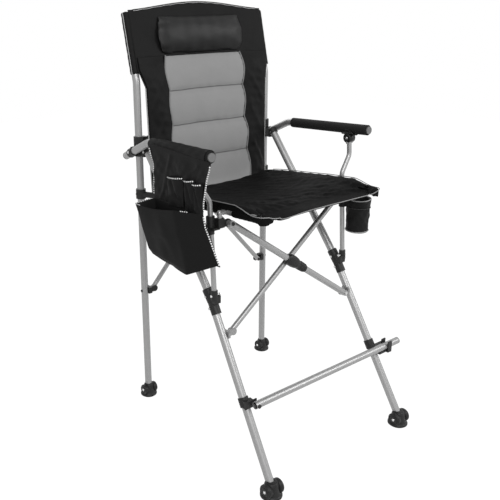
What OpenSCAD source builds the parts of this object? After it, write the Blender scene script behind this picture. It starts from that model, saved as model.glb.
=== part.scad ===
// Tall folding director chair, facing -Y, in millimetres
// Origin on the floor, below the middle of the chair

/* [Frame] */
// Distance between the rear post axes
post_span = 548; // [530:1:570]
// Distance from the rear to the front feet
foot_depth = 672; // [660:1:684]
// Tube diameter of the posts
post_d = 24; // [22:0.5:25]
// Tube diameter of the legs and arms
leg_d = 25; // [24:0.5:26]
// Tube diameter of the arm posts
arm_post_d = 16; // [15:0.5:17]
// Wall of all tubes
wall = 1.2; // [1:0.1:2]
// Lean of the rear posts in degrees
post_lean = 1; // [0.5:0.1:1.5]
// Further lean of the post tops in degrees
top_lean = 13; // [10:0.5:15]

/* [Scissors] */
// Diameter of the rear scissor tubes
back_x_d = 16; // [14:0.5:17]
// Diameter of the wide front scissor tube
front_wide_d = 21; // [18:0.5:22]
// Diameter of the thin front scissor tube
front_thin_d = 17; // [15:0.5:18]
// Height of the rear scissor between its pivots
back_rise = 527; // [520:1:535]
// Height of the front scissor between its pivots
front_rise = 339; // [330:1:345]

/* [Soft parts] */
// Height of the rear of the seat rails
rail_rear_z = 756; // [750:1:765]
// Outer diameter of the arm pads
pad_d = 34; // [32:1:36]
// Number of quilt channels on the back cushion
channels = 4; // [3:1:6]

/* [Footrest and cup] */
// Height of the footrest bar
footrest_z = 240; // [230:1:250]
// Diameter of the footrest bar
footrest_d = 23; // [20:0.5:24]
// Outer diameter of the cup holder
cup_d = 82; // [76:1:86]
// Height of the cup holder
cup_h = 118; // [110:1:125]

/* [Hidden] */
$fn = 48;
half = post_span / 2;
rear_y = foot_depth / 2 - 28;
fit = 0.05;
run = 0.1;
slide = 0.3;
gap = 0.3;
lap = 0.7;

// Post, from the foot to the bend and on to the top
lean_dir = [0, sin(post_lean), cos(post_lean)];
bend_z = 1117;
top_len = 212;
post_foot = [half, rear_y + 14 * tan(post_lean), 14];
post_bend = [half, rear_y + bend_z * tan(post_lean), bend_z];
post_top = post_bend + top_len * [0, sin(post_lean + top_lean), cos(post_lean + top_lean)];

// Legs
leg_top = [half + 1, rear_y - 369, 504];
leg_low = [half + 16, rear_y - 678, 16];
upper_top = [half, rear_y - 29, 910];
upper_low = [half, rear_y - 374.5, 500.6];
leg_dir = (leg_low - leg_top) / norm(leg_low - leg_top);

// Arm post, in a plane that leans back a little
plane_lean = 4.6;
plane_up = [0, sin(plane_lean), cos(plane_lean)];
plane_out = [0, -cos(plane_lean), sin(plane_lean)];
arm_post_x = half + 7;
arm_post_top_x = half + 44;
arm_post_low = [arm_post_x, rear_y - 391, 522];
arm_post_pts = [
    arm_post_low,
    [arm_post_x, 0, 0] + at_plane(292),
    [arm_post_top_x, 0, 0] + at_plane(348),
    [arm_post_top_x, 0, 0] + at_plane(408)
];

// Arm tube, from its plugged rear end to its front end
arm_rear = [half + 25, rear_y + 54, 877];
arm_bend = [half + 27, rear_y - 84, 943];
arm_front = [half + 51, rear_y - 432, 961];
arm_dir = (arm_front - arm_bend) / norm(arm_front - arm_bend);

// Rear scissor
back_pivot_x = half - 37;
back_low_z = 405;
back_plane_y = rear_y + 3;
back_out = [0, -cos(post_lean), sin(post_lean)];
back_off = back_x_d / 2 + 0.5;

// Front scissor
front_pivot_x = half - 34;
front_low = [0, rear_y - 431, 413];
play = 0.6;
wide_off = front_wide_d / 2 + play;
thin_off = front_thin_d / 2 + play;

// Seat rails
rail_d = 21;
rail_x = front_pivot_x;
rail_rear = [rail_x, rear_y - 56, rail_rear_z];
rail_front = [rail_x, rear_y - 545, rail_rear_z + 40];
rail_dir = (rail_front - rail_rear) / norm(rail_front - rail_rear);
seat_half = rail_x + 13;

// Footrest
bar_y = rear_y - 571;
bar_pivot = [-(half - 10), bar_y, footrest_z];
bar_end_x = half + 107;

// Cup holder
cup_pos = [half + 61, rear_y - 402, 606];

// Shapes of the back
back_top_z = 1338;
back_low_edge = 748;

// A point on the arm post's plane, a distance up from its lower end
function at_plane(up) = [0, arm_post_low.y, arm_post_low.z] + up * plane_up;

// A point of the front scissor: across, up and out of its plane
function front_at(x, up, out) = [x, 0, 0] + front_low + up * plane_up + out * plane_out;

// A point of the rear scissor
function back_at(x, up, out) =
    [x, back_plane_y, back_low_z] + up * lean_dir + out * back_out;

// A point on the lower leg's axis at a height
function leg_at(z) = leg_top + (leg_top.z - z) / (leg_top.z - leg_low.z) * (leg_low - leg_top);

// A point on the post's axis at a height
function post_at(z) = [half, rear_y + z * tan(post_lean), z];

function unit(v) = v / norm(v);

module side(s) {
    if (s < 0) mirror([1, 0, 0]) children();
    else children();
}

module rod(a, b, d) {
    v = b - a;
    translate(a)
        rotate([0, acos(v.z / norm(v)), atan2(v.y, v.x)])
            cylinder(d = d, h = norm(v));
}

module ring(a, b, d, bore) {
    u = unit(b - a);
    difference() {
        rod(a, b, d);
        rod(a - u, b + u, bore);
    }
}

module pipe(a, b, d) ring(a, b, d, d - 2 * wall);

// A bent rod through points, each inner point rounded to a bend radius
module bent(pts, d, r, grow = 0) {
    last = len(pts) - 1;
    for (i = [0:last - 1]) {
        u = unit(pts[i + 1] - pts[i]);
        a = i == 0 ? pts[0] - grow * u : pts[i] + u * (tangent(pts, i, r) - lap);
        b = i == last - 1 ? pts[last] + grow * u : pts[i + 1] - u * (tangent(pts, i + 1, r) - lap);
        rod(a, b, d);
    }
    for (i = [1:last - 1]) elbow(pts, i, d - 0.1, r);
}

function turn(pts, i) = acos(unit(pts[i] - pts[i - 1]) * unit(pts[i + 1] - pts[i]));
function tangent(pts, i, r) = r * tan(turn(pts, i) / 2);

module elbow(pts, i, d, r) {
    u = unit(pts[i] - pts[i - 1]);
    v = unit(pts[i + 1] - pts[i]);
    m = unit(v - (v * u) * u);
    k = cross(u, m);
    c = pts[i] - u * tangent(pts, i, r) + r * m;
    multmatrix([
        [-m.x, u.x, k.x, c.x],
        [-m.y, u.y, k.y, c.y],
        [-m.z, u.z, k.z, c.z],
        [0, 0, 0, 1]
    ])
        rotate_extrude(angle = turn(pts, i))
            translate([r, 0])
                circle(d = d);
}

module bent_pipe(pts, d, r) {
    difference() {
        bent(pts, d, r);
        bent(pts, d - 2 * wall, r, 1);
    }
}

// A rivet along a line, with a head on each end
module rivet(a, b, d = 6, head = 10) {
    u = unit(b - a);
    rod(a - u, b + u, d);
    rod(a - 2 * u, a, head);
    rod(b, b + 2 * u, head);
}

// A closed solid between two grids of points
module shell(n, m, upper, lower) {
    top_pts = [for (i = [0:n]) for (j = [0:m]) upper(i / n, j / m)];
    low_pts = [for (i = [0:n]) for (j = [0:m]) lower(i / n, j / m)];
    w = m + 1;
    low = (n + 1) * w;
    faces = concat(
        [for (i = [0:n - 1]) for (j = [0:m - 1])
            each [[i * w + j, (i + 1) * w + j, (i + 1) * w + j + 1],
                  [i * w + j, (i + 1) * w + j + 1, i * w + j + 1]]],
        [for (i = [0:n - 1]) for (j = [0:m - 1])
            each [[low + i * w + j, low + (i + 1) * w + j + 1, low + (i + 1) * w + j],
                  [low + i * w + j, low + i * w + j + 1, low + (i + 1) * w + j + 1]]],
        [for (j = [0:m - 1])
            each [[j, j + 1, low + j + 1], [j, low + j + 1, low + j]]],
        [for (j = [0:m - 1]) let (k = n * w + j)
            each [[k, low + k + 1, k + 1], [k, low + k, low + k + 1]]],
        [for (i = [0:n - 1]) let (k = i * w)
            each [[k, low + k, low + k + w], [k, low + k + w, k + w]]],
        [for (i = [0:n - 1]) let (k = i * w + m)
            each [[k, k + w, low + k + w], [k, low + k + w, low + k]]]
    );
    polyhedron(points = concat(top_pts, low_pts), faces = faces, convexity = 6);
}

// Posts

module rear_post(s) {
    color([0.62, 0.62, 0.62])
        side(s)
            difference() {
                bent_pipe([post_foot, post_bend, post_top], post_d, 80);
                arm_rivet_hole(0);
                back_rivet_hole();
                cradle_rivet_hole();
            }
}

module tube_plugs(s) {
    bore = leg_d - 2 * wall - 2 * fit;
    color([0.5, 0.5, 0.5])
        side(s) {
            up = unit(post_top - post_bend);
            rod(post_top - 12 * up, post_top, post_d - 2 * wall - 2 * fit);
            rod(post_top, post_top + 3 * up, post_d);
            for (e = [[arm_rear, unit(arm_rear - arm_bend)], [arm_front, arm_dir]]) {
                rod(e[0] - 12 * e[1], e[0], bore);
                rod(e[0], e[0] + 3 * e[1], leg_d);
            }
        }
}

// Feet

module foot_dome(r, h, socket_r) {
    rotate_extrude()
        polygon(concat(
            [[0, 0], [r, 0], [r, 5], [r - 2.5, 8]],
            [for (a = [0:15:75]) [socket_r + 1 + (r - 4 - socket_r) * pow(cos(a), 0.7), 8 + (h - 9) * sin(a)]],
            [[socket_r + 1, h], [0, h]]
        ));
}

module rear_foot(s) {
    color([0.12, 0.12, 0.12])
        side(s)
            difference() {
                translate([half, rear_y, 0]) foot_dome(29, 46, post_d / 2 + 2.5);
                rod(post_foot, post_at(60), post_d + 2 * fit);
            }
}

module front_foot(s) {
    base = leg_at(30);
    color([0.12, 0.12, 0.12])
        side(s)
            difference() {
                translate([base.x, base.y, 0]) foot_dome(33, 48, leg_d / 2 + 6);
                rod(leg_low, leg_at(70), leg_d + 2 * fit);
            }
}

// Front legs

module upper_leg(s) {
    color([0.62, 0.62, 0.62])
        side(s)
            difference() {
                pipe(upper_top, upper_low, leg_d);
                clamp_rivet_holes();
                arm_rivet_hole(1);
            }
}

module front_leg(s) {
    color([0.62, 0.62, 0.62])
        side(s)
            difference() {
                pipe(leg_top + 16 * leg_dir, leg_low, leg_d);
                clamp_rivet_holes();
            }
}

clamp_x = half + 1;
upper_rivet_at = [clamp_x, rear_y - 362, 516];
lower_rivet_at = [clamp_x, rear_y - 381, 484];
ear_rivet_at = [clamp_x + 6, rear_y - 391.3, 528];

module cross_rivet(c, half_len, grow = 0) {
    rod(c - [half_len, 0, 0], c + [half_len, 0, 0], 5 + 2 * grow);
}

module clamp_rivet_holes() {
    for (c = [upper_rivet_at, lower_rivet_at, ear_rivet_at]) cross_rivet(c, 40, fit);
}

module clamp_rivets(s) {
    color([0.85, 0.85, 0.85])
        side(s)
            for (c = [upper_rivet_at, lower_rivet_at, ear_rivet_at]) {
                inner = c == ear_rivet_at ? 18.5 : 17.5;
                outer = c == ear_rivet_at ? 11.2 : 17.5;
                rivet(c - [inner, 0, 0], c + [outer, 0, 0], 5, 8);
            }
}

module leg_clamp(s) {
    knee = leg_top + [-0.5, -3.5, 0];
    up = unit(upper_top - upper_low);
    plug_d = leg_d - 2 * wall - 2 * fit;
    color([0.15, 0.15, 0.15])
        side(s)
            difference() {
                union() {
                    rod(knee, knee + 38 * up, 33);
                    translate(knee) sphere(d = 33);
                    rod(knee, knee + 44 * leg_dir, 31);
                    rod(arm_post_low - 8 * plane_up, arm_post_low + 22 * plane_up, 22);
                    translate([clamp_x, knee.y - 14, 514])
                        cube([24, 26, 24], center = true);
                }
                rod(upper_low, upper_top, leg_d + 2 * fit);
                rod(leg_top + 16 * leg_dir, leg_low, leg_d + 2 * fit);
                rod(arm_post_low, arm_post_low + 60 * plane_up, arm_post_d + 2 * fit);
                clamp_rivet_holes();
            }
}

// Arms

module arm_post(s) {
    color([0.62, 0.62, 0.62])
        side(s)
            difference() {
                bent_pipe(arm_post_pts, arm_post_d, 34);
                clamp_rivet_holes();
                arm_rivet_hole(2);
            }
}

module arm_tube(s) {
    color([0.62, 0.62, 0.62])
        side(s)
            difference() {
                bent_pipe([arm_rear, arm_bend, arm_front], leg_d, 60);
                arm_rivet_hole(0);
            }
}

pad_rear = arm_bend + 22 * arm_dir;
pad_front = arm_front - 1 * arm_dir;

module arm_pad(s) {
    color([0.13, 0.13, 0.13])
        side(s)
            difference() {
                union() {
                    rod(pad_rear + 2 * arm_dir, pad_front - 2 * arm_dir, pad_d);
                    rod(pad_rear, pad_front, pad_d - 4);
                }
                rod(arm_bend, arm_front + 5 * arm_dir, leg_d + 2 * fit);
                ear_cut();
            }
}

ear_at = [arm_post_top_x, 0, 0] + at_plane(394);

module ear_cut() {
    translate(ear_at + [0, 0, 8]) cube([33, 40, 54], center = true);
}

module arm_ear(s) {
    c = arm_bend + arm_dir * ((ear_at - arm_bend) * arm_dir);
    color([0.15, 0.15, 0.15])
        side(s)
            difference() {
                union() {
                    rod(c - 12 * arm_dir, c + 12 * arm_dir, 31);
                    rod(ear_at + [-11, 2, 11], ear_at + [11, 2, 11], 33);
                }
                rod(arm_bend, arm_front, leg_d + 2 * fit);
                rod(arm_post_pts[2], arm_post_pts[3] + 4 * plane_up, arm_post_d + 2 * fit);
                translate(ear_at + [0, 0, 64.6]) cube([60, 60, 60], center = true);
                arm_rivet_hole(2);
            }
}

bracket_z = 880;
bracket_h = 38;
arm_rivets = [
    [post_at(896), 18, 41.5],
    [upper_top + [0, -5, -8], 15.6, 15.6],
    [[arm_post_top_x, 0, 0] + at_plane(390), 11.2, 11.2]
];

// Holes for the rivets that hold the arm's joints
module arm_rivet_hole(i) {
    r = arm_rivets[i];
    rod(r[0] - [r[1] + 9, 0, 0], r[0] + [r[2] + 9, 0, 0], 5 + 2 * fit);
}

module arm_rivet_set(s) {
    color([0.85, 0.85, 0.85])
        side(s)
            for (r = arm_rivets)
                rivet(r[0] - [r[1], 0, 0], r[0] + [r[2], 0, 0], 5, 8);
}

module arm_bracket(s) {
    boss = post_at(bracket_z + bracket_h / 2);
    leg_up = unit(upper_top - upper_low);
    arm_back = unit(arm_rear - arm_bend);
    on_arm = arm_rear - arm_back * ((arm_rear.y - boss.y) / arm_back.y);
    color([0.15, 0.15, 0.15])
        side(s)
            difference() {
                union() {
                    rod(post_at(bracket_z), post_at(bracket_z + bracket_h), post_d + 10);
                    rod(on_arm - 13 * arm_back, on_arm + 13 * arm_back, leg_d + 6);
                    translate([half + 14, boss.y, 898]) cube([26, 22, 26], center = true);
                    rod(upper_top - 15 * leg_up, upper_top + 3 * leg_up, leg_d + 6);
                    translate([half, boss.y - 26, 898]) cube([20, 32, 30], center = true);
                }
                rod(post_at(860), post_at(940), post_d + 2 * fit);
                rod(upper_low, upper_top + fit * leg_up, leg_d + 2 * fit);
                bent([arm_rear, arm_bend, arm_front], leg_d + 2 * fit, 60);
                for (i = [0, 1]) arm_rivet_hole(i);
            }
}

// Rear scissor

module back_rivet_hole() {
    c = post_at(back_low_z);
    rod(c - [30, 0, 0], c + [30, 0, 0], 5 + 2 * fit);
}

// Tab beside a rear scissor tube's end, held to the post
module back_bracket(s) {
    near = s < 0 ? 0 : -5;
    c = back_at(back_pivot_x, 0, near);
    post = post_at(back_low_z);
    color([0.15, 0.15, 0.15])
        side(s) {
            difference() {
                union() {
                    rod(c, c + 5 * back_out, 22);
                    bracket_bar(back_pivot_x, half - 16, 0, near);
                    translate([half - 14.5, post.y - 2, post.z]) cube([13, 27, 22], center = true);
                }
                rod(post_at(380), post_at(430), post_d + 2 * fit);
                back_rivet_hole();
            }
            pin(back_at(back_pivot_x, 0, 0), s < 0 ? -back_out : back_out, back_x_d, 0.8);
            rivet(post - [21.2, 0, 0], post + [12.2, 0, 0], 5, 9);
        }
}

module bracket_bar(x0, x1, up, near) {
    translate(back_at((x0 + x1) / 2, up, near + 2.5))
        rotate([-post_lean, 0, 0])
            cube([x1 - x0, 5, 20], center = true);
}

// Pin with a head, from inside a tab and through a tube of a diameter
module pin(c, dir, d, free) {
    rod(c - 2.5 * dir, c + (d + free + 1) * dir, 6);
    rod(c + (d + free) * dir, c + (d + free + 2) * dir, 11);
}

module back_collar(s) {
    near = s < 0 ? -5 : 0;
    c = back_at(back_pivot_x, back_rise, near);
    post = post_at(c.z);
    color([0.15, 0.15, 0.15])
        side(s) {
            difference() {
                union() {
                    rod(post_at(c.z - 12), post_at(c.z + 12), post_d + 10);
                    rod(c, c + 5 * back_out, 22);
                    bracket_bar(back_pivot_x, half - 14, back_rise, near);
                    translate([half - 19, post.y - 3, c.z]) cube([11, 22, 22], center = true);
                }
                rod(post_at(c.z - 30), post_at(c.z + 30), post_d + 2 * slide);
            }
            pin(back_at(back_pivot_x, back_rise, 0), s < 0 ? back_out : -back_out, back_x_d, 0.8);
        }
}

// A scissor tube with rounded ends, drilled for its three pivots
module scissor_tube(a, b, d, out, pin) {
    u = unit(b - a);
    mid = (a + b) / 2;
    difference() {
        union() {
            pipe(a, b, d);
            for (p = [a, b]) rod(p - out * (d / 2 - 1), p + out * (d / 2 - 1), d - 1);
            rod(mid - out * (d / 2 - 1.6), mid + out * (d / 2 - 1.6), 9);
        }
        for (p = [a, b, mid]) rod(p - out * d, p + out * d, pin + 2 * run);
    }
}

module back_x_tube(s) {
    off = s * back_off;
    color([0.6, 0.6, 0.6])
        scissor_tube(
            back_at(s * back_pivot_x, 0, off),
            back_at(-s * back_pivot_x, back_rise, off),
            back_x_d, back_out, 6
        );
}

module back_x_rivet() {
    c = back_at(0, back_rise / 2, 0);
    reach = back_x_d + 0.8;
    color([0.85, 0.85, 0.85])
        rivet(c - reach * back_out, c + reach * back_out, 6, 11);
}

// Front scissor

// Plate that holds a lower pivot of the front scissor to the leg
module front_bracket(s) {
    near = s < 0 ? 0 : -4;
    c = front_at(front_pivot_x, 0, near);
    leg = leg_at(front_low.z);
    color([0.3, 0.3, 0.3])
        side(s) {
            difference() {
                union() {
                    rod(c, c + 4 * plane_out, 22);
                    translate(front_at(half - 17, 0, near + 2)) rotate([-plane_lean, 0, 0])
                        cube([34, 4, 18], center = true);
                    translate([half - 9, leg.y - 3, leg.z]) cube([8, 30, 20], center = true);
                }
                rod(leg_low, leg_top, leg_d + 2 * fit);
            }
            if (s < 0) pin(front_at(front_pivot_x, 0, 0), -plane_out, front_thin_d, 2 * play);
        }
}

module front_x_thin() {
    color([0.62, 0.62, 0.62])
        scissor_tube(
            front_at(-front_pivot_x, 0, -thin_off),
            front_at(front_pivot_x, front_rise, -thin_off),
            front_thin_d, plane_out, 6
        );
}

module front_x_wide() {
    color([0.62, 0.62, 0.62])
        scissor_tube(
            front_at(front_pivot_x, 0, wide_off),
            front_at(-front_pivot_x, front_rise, wide_off),
            front_wide_d, plane_out, 6
        );
}

// Rivet of the opened pivot, which rides on the wide tube's lower end
module front_x_rivet() {
    a = front_at(front_pivot_x, 0, 2 * play);
    b = front_at(front_pivot_x, 0, front_wide_d + 2 * play);
    color([0.85, 0.85, 0.85]) {
        rod(a, b + plane_out, 6 + 2 * fit);
        rod(b, b + 2 * plane_out, 11);
    }
}

module front_x_hub() {
    c = front_at(0, front_rise / 2, 0);
    wide = front_at(0, front_rise / 2, wide_off);
    along = unit(front_at(front_pivot_x, 0, 0) - front_at(-front_pivot_x, front_rise, 0));
    front_face = play + front_wide_d + 3;
    rear_face = front_thin_d + 2 * play;
    color([0.15, 0.15, 0.15]) {
        difference() {
            union() {
                rod(wide - 18 * along, wide + 44 * along, front_wide_d + 7);
                rod(c + 2 * play * plane_out, c + front_face * plane_out, 34);
            }
            rod(wide - 60 * along, wide + 80 * along, front_wide_d + 2 * fit);
            rod(c - 30 * plane_out, c + 40 * plane_out, 6 + 2 * fit);
            translate(front_at(0, front_rise / 2, play - 30)) rotate([-plane_lean, 0, 0])
                cube([160, 60, 120], center = true);
        }
        rivet(c - rear_face * plane_out, c + front_face * plane_out, 6, 12);
    }
}

// Seat collars on the arm posts, and the parts that rest in them

collar_low = 216;

// Ring on the arm post with a ledge for the rail's carrier
module seat_collar(s) {
    base = [arm_post_x, 0, 0] + at_plane(collar_low);
    color([0.15, 0.15, 0.15])
        side(s)
            difference() {
                union() {
                    rod(base, base + 34 * plane_up, arm_post_d + 9);
                    for (a = [0:40:320]) rib(base, a);
                    rod(base - 20 * plane_up, base + plane_up, arm_post_d + 4);
                    translate(base + [-4, -16, -1.4]) rotate([-plane_lean, 0, 0])
                        cube([24, 14, 6], center = true);
                }
                rod(base - 30 * plane_up, base + 60 * plane_up, arm_post_d + 2 * fit);
            }
}

module rib(base, a) {
    off = 12.3 * [cos(a), sin(a), 0];
    rod(base + off + 2 * plane_up, base + off + 32 * plane_up, 2.4);
}

// Elbow between the carrier and the rail
elbow_x = half - 7;
elbow_d = 14;
elbow_low = front_at(elbow_x, front_rise + 18.6, -6);

// Black block that joins the scissor's upper end to the rail and rests on the collar
module rail_carrier(s) {
    near = s < 0 ? -5 : 0;
    d = s < 0 ? front_wide_d : front_thin_d;
    c = front_at(front_pivot_x, front_rise, near);
    color([0.15, 0.15, 0.15])
        side(s) {
            rod(c, c + 5 * plane_out, 24.6);
            translate(front_at(half - 17.5, front_rise + 1, near + 2.5)) rotate([-plane_lean, 0, 0])
                cube([34, 5, 21], center = true);
            translate(front_at(elbow_x, front_rise + 4, -6.5)) rotate([-plane_lean, 0, 0])
                cube([21.4, 18, 29], center = true);
            pin(front_at(front_pivot_x, front_rise, 0), s < 0 ? plane_out : -plane_out, d, 2 * play);
        }
}

// Seat side tube with the elbow that stands on its carrier
module seat_rail(s) {
    corner = elbow_low + 15 * plane_up;
    color([0.62, 0.62, 0.62])
        side(s)
            difference() {
                union() {
                    rod(rail_rear, rail_front, rail_d);
                    rod(elbow_low, corner, elbow_d);
                    translate(corner) sphere(d = elbow_d + 2);
                    rod(corner, [rail_x + 3, corner.y, corner.z], elbow_d);
                }
                rod(rail_rear - 5 * rail_dir, rail_front + 5 * rail_dir, rail_d - 2 * wall);
            }
}

module cradle_rivet_hole() {
    c = post_at(cradle_z);
    rod(c - [30, 0, 0], c + [30, 0, 0], 5 + 2 * fit);
}

cradle_z = 752;

// Ring on the post with a stub and an open saddle for the rail's rear end
module seat_cradle(s) {
    post = post_at(cradle_z);
    stub_end = [rail_x, rail_rear.y + 9, post.z - 2];
    near = rail_rear - 4 * rail_dir;
    color([0.15, 0.15, 0.15])
        side(s) {
            difference() {
                union() {
                    rod(post - [0, 0, 16], post + [0, 0, 16], post_d + 9);
                    rod(rail_rear + 6 * rail_dir, rail_rear + 34 * rail_dir, rail_d + 8);
                    translate(stub_end + [0, -18, -12]) cube([18, 50, 7], center = true);
                    rod(post + [-4, -8, -2], stub_end, 20);
                }
                rod(post_at(cradle_z - 40), post_at(cradle_z + 40), post_d + 2 * fit);
                rod(near, rail_rear + 60 * rail_dir, rail_d + 2 * gap);
                translate(rail_rear + 20 * rail_dir + [0, 0, 30.5]) cube([60, 60, 60], center = true);
                cradle_rivet_hole();
            }
            rivet(post - [15.8, 0, 0], post + [15.8, 0, 0], 5, 9);
        }
}

// Footrest

module footrest_bar() {
    a = bar_pivot + [-8, 0, 0];
    b = [bar_end_x, bar_y, footrest_z];
    color([0.62, 0.62, 0.62])
        difference() {
            pipe(a, b, footrest_d);
            rod(bar_pivot - [0, 30, 0], bar_pivot + [0, 30, 0], 6 + 2 * run);
        }
}

module footrest_plugs() {
    bore = footrest_d - 2 * wall - 2 * fit;
    b = [bar_end_x, bar_y, footrest_z];
    color([0.5, 0.5, 0.5]) {
        rod(b - [12, 0, 0], b, bore);
        rod(b, b + [3, 0, 0], footrest_d);
    }
}

// Fork on the left leg that carries the bar's pivot
module footrest_bracket() {
    leg = leg_at(footrest_z);
    plate = footrest_d / 2 + 0.5;
    color([0.15, 0.15, 0.15])
        difference() {
            union() {
                translate([bar_pivot.x - 12, bar_y + plate + 1.5, footrest_z])
                    cube([44, 3, 24], center = true);
                translate([-leg.x + 2, bar_y + plate + 8, footrest_z]) cube([30, 16, 24], center = true);
                side(-1) rod(leg + 14 * leg_dir, leg - 14 * leg_dir, leg_d + 7);
            }
            side(-1) rod(leg_low, leg_top, leg_d + 2 * fit);
        }
    color([0.85, 0.85, 0.85]) {
        rod(bar_pivot + [0, plate + 2, 0], bar_pivot - [0, plate + 1, 0], 6);
        rod(bar_pivot - [0, plate, 0], bar_pivot - [0, plate + 2, 0], 12);
    }
}

// Ring on the right leg with a channel that the bar drops into
module footrest_clip() {
    leg = leg_at(footrest_z + 4);
    r = footrest_d / 2;
    hook_x = half + 52;
    color([0.15, 0.15, 0.15])
        difference() {
            union() {
                rod(leg + 15 * leg_dir, leg - 15 * leg_dir, leg_d + 7);
                translate([half + 36, bar_y + 10, footrest_z - 8]) cube([50, 34, 24], center = true);
                translate([hook_x, bar_y, footrest_z]) cube([18, 2 * r + 9, 2 * r + 16], center = true);
            }
            rod(leg_low, leg_top, leg_d + 2 * fit);
            translate([half + 40, bar_y, footrest_z - r - gap + 50]) cube([200, 2 * r + 2 * gap, 100], center = true);
        }
}

// Soft parts

// Heights of the seat's top and bottom, with a crown, a sag and drawn-in sides
function rail_z(y) = rail_rear.z + (rail_rear.y - y) / (rail_rear.y - rail_front.y)
    * (rail_front.z - rail_rear.z);
function seat_x(u, v) =
    let (t = max(0, v - 0.93) / 0.07, draw = 1 - (v < 0.5 ? 0.12 * pow(1 - 2 * v, 8) : 0.12 * (1 - sqrt(1 - t * t))))
    (2 * u - 1) * seat_half * draw;
function seat_y(v) = (rear_y - 66) - v * 496;
// Height of the side roll over the rail, and depth of the sag between the rolls, along the seat
function seat_roll(v) = lookup(v, [[0, 20], [0.31, 24], [0.55, 29], [0.76, 30], [0.9, 24], [0.95, 20], [1, 17]]);
function seat_sag(v) = lookup(v, [[0, 13], [0.5, 24], [0.9, 26], [1, 29]]);
function seat_top(u, v) =
    let (x = seat_x(u, v), y = seat_y(v), e = abs(2 * u - 1))
    [x, y, rail_z(y) + seat_roll(v) - seat_sag(v) * pow(1 - e * e, 1.3) + 1.2 * cos(360 * 3 * v) * (1 - e * e)];
function seat_low(u, v) =
    let (x = seat_x(u, v), y = seat_y(v), e = abs(2 * u - 1))
    [x, y, rail_z(y) + rail_d / 2 + 0.9 - (24 + 7 * pow(v, 4)) * pow(max(0, 1 - pow(e / 0.9, 6)), 0.5)];

module seat_pad() {
    color([0.13, 0.13, 0.13])
        shell(26, 20, function(u, v) seat_top(u, v), function(u, v) seat_low(u, v));
}

// Depth of the back's cloth at its middle and at its edges
back_mid = [[768, -10], [800, -9.5], [873, -4], [932, 0], [975, 8], [1090, 20], [1193, 34], [1362, 68]];
back_edge = [[768, -10], [873, -8.5], [943, -8], [1000, -4], [1100, 2], [1138, 10], [1160, 16], [1362, 67]];
function back_y(e, z) = rear_y + lookup(z, back_mid)
    + e * e * (lookup(z, back_edge) - lookup(z, back_mid));
function back_z(u, v) = back_low_edge + v * (back_top_z + 22 * (1 - pow(2 * u - 1, 2)) - back_low_edge);
function back_half(z) = lookup(z, [[back_low_edge, 246], [1100, 250], [1156, half], [1362, half]]);
function back_rear(u, v) =
    let (e = 2 * u - 1, z = back_z(u, v))
    [e * back_half(z), back_y(e, z), z];
function back_front(u, v) = back_rear(u, v) - [0, 2.4 + 2.6 * (1 - pow(2 * u - 1, 6)), 0];

module back_panel() {
    up = unit(post_top - post_bend);
    low = post_bend + 22 * up;
    color([0.13, 0.13, 0.13])
        difference() {
            union() {
                shell(24, 24, function(u, v) back_rear(u, v), function(u, v) back_front(u, v));
                for (s = [-1, 1]) side(s) rod(low, post_top + 9 * up, post_d + 8);
            }
            for (s = [-1, 1]) side(s) rod(low - 4 * up, post_top + 4 * up, post_d + 2 * gap);
        }
}

// Quilted cushion: rows of crowned channels with sewn seams
cushion_low = 752;
cushion_top = 1194;
function cushion_x(u, v) = (2 * u - 1) * (166 + 4 * sin(180 * channels * v));
function cushion_rear(u, v) =
    let (z = cushion_low + v * (cushion_top - cushion_low), x = cushion_x(u, v))
    [x, back_y(x / 250, z) - 5.4, z];
function cushion_front(u, v) =
    let (e = 1 - pow(abs(2 * u - 1), 6), puff = abs(sin(180 * channels * v)))
    cushion_rear(u, v) - [0, 1.5 + (3 + 12 * puff) * e, 0];

module back_cushion() {
    color([0.58, 0.58, 0.58])
        shell(14, 40, function(u, v) cushion_rear(u, v), function(u, v) cushion_front(u, v));
}

pillow_low = 1197;
pillow_high = back_top_z - 24;
function pillow_rear(u, v) =
    let (z = pillow_low + v * (pillow_high - pillow_low), x = (2 * u - 1) * (178 - 6 * pow(cos(180 * v), 2)))
    [x, back_y(x / 250, z) - 5.4, z];
function pillow_front(u, v) =
    let (e = 1 - pow(abs(2 * u - 1), 8) * 0.5)
    pillow_rear(u, v) - [0, 1.5 + 36 * e * pow(max(0, sin(180 * v)), 0.7), 0];

module head_pillow() {
    color([0.13, 0.13, 0.13])
        shell(18, 16, function(u, v) pillow_rear(u, v), function(u, v) pillow_front(u, v));
}

// Bag that hangs on the left arm, with a boxy pocket that is open at the top
bag_front_y = rear_y - 446;
bag_rear_y = rear_y - 142;
bag_cloth = 3;
pocket_out = 62;
bag_x = half + 61;
pocket_low = 622;
pocket_top = 780;

module side_bag() {
    a = arm_bend + 62 * arm_dir;
    b = arm_front - 8 * arm_dir;
    color([0.13, 0.13, 0.13])
        side(-1)
            difference() {
                union() {
                    rod(a, b, pad_d + 2 * gap + 2 * bag_cloth);
                    bag_sheet(bag_x, 6);
                    for (i = [0:2]) slot_pocket(bag_x, i);
                    pocket(bag_x);
                }
                rod(a - 5 * arm_dir, b + 5 * arm_dir, pad_d + 2 * gap);
                translate(ear_at + [-12, 0, -4]) cube([48, 56, 68], center = true);
            }
}

// Upright sheet of cloth that follows the arm's splay, waisted at the front and flared below
module bag_sheet(x, thick) {
    mid = (bag_front_y + bag_rear_y) / 2;
    front = bag_front_y - mid;
    rear = bag_rear_y - mid;
    translate([x + thick / 2, mid, 0])
        rotate([0, 0, 4])
            rotate([90, 0, -90])
                linear_extrude(thick)
                    polygon([
                        [-front - 14, 957], [-front - 18, 929], [-front - 32, 853], [-front - 40, 804],
                        [-front - 15, 740], [-front + 38, pocket_low + 48], [-front - 30, pocket_low + 8],
                        [-rear + 30, pocket_low + 22], [-rear + 10, 781], [-rear, 957]
                    ]);
}

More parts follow.
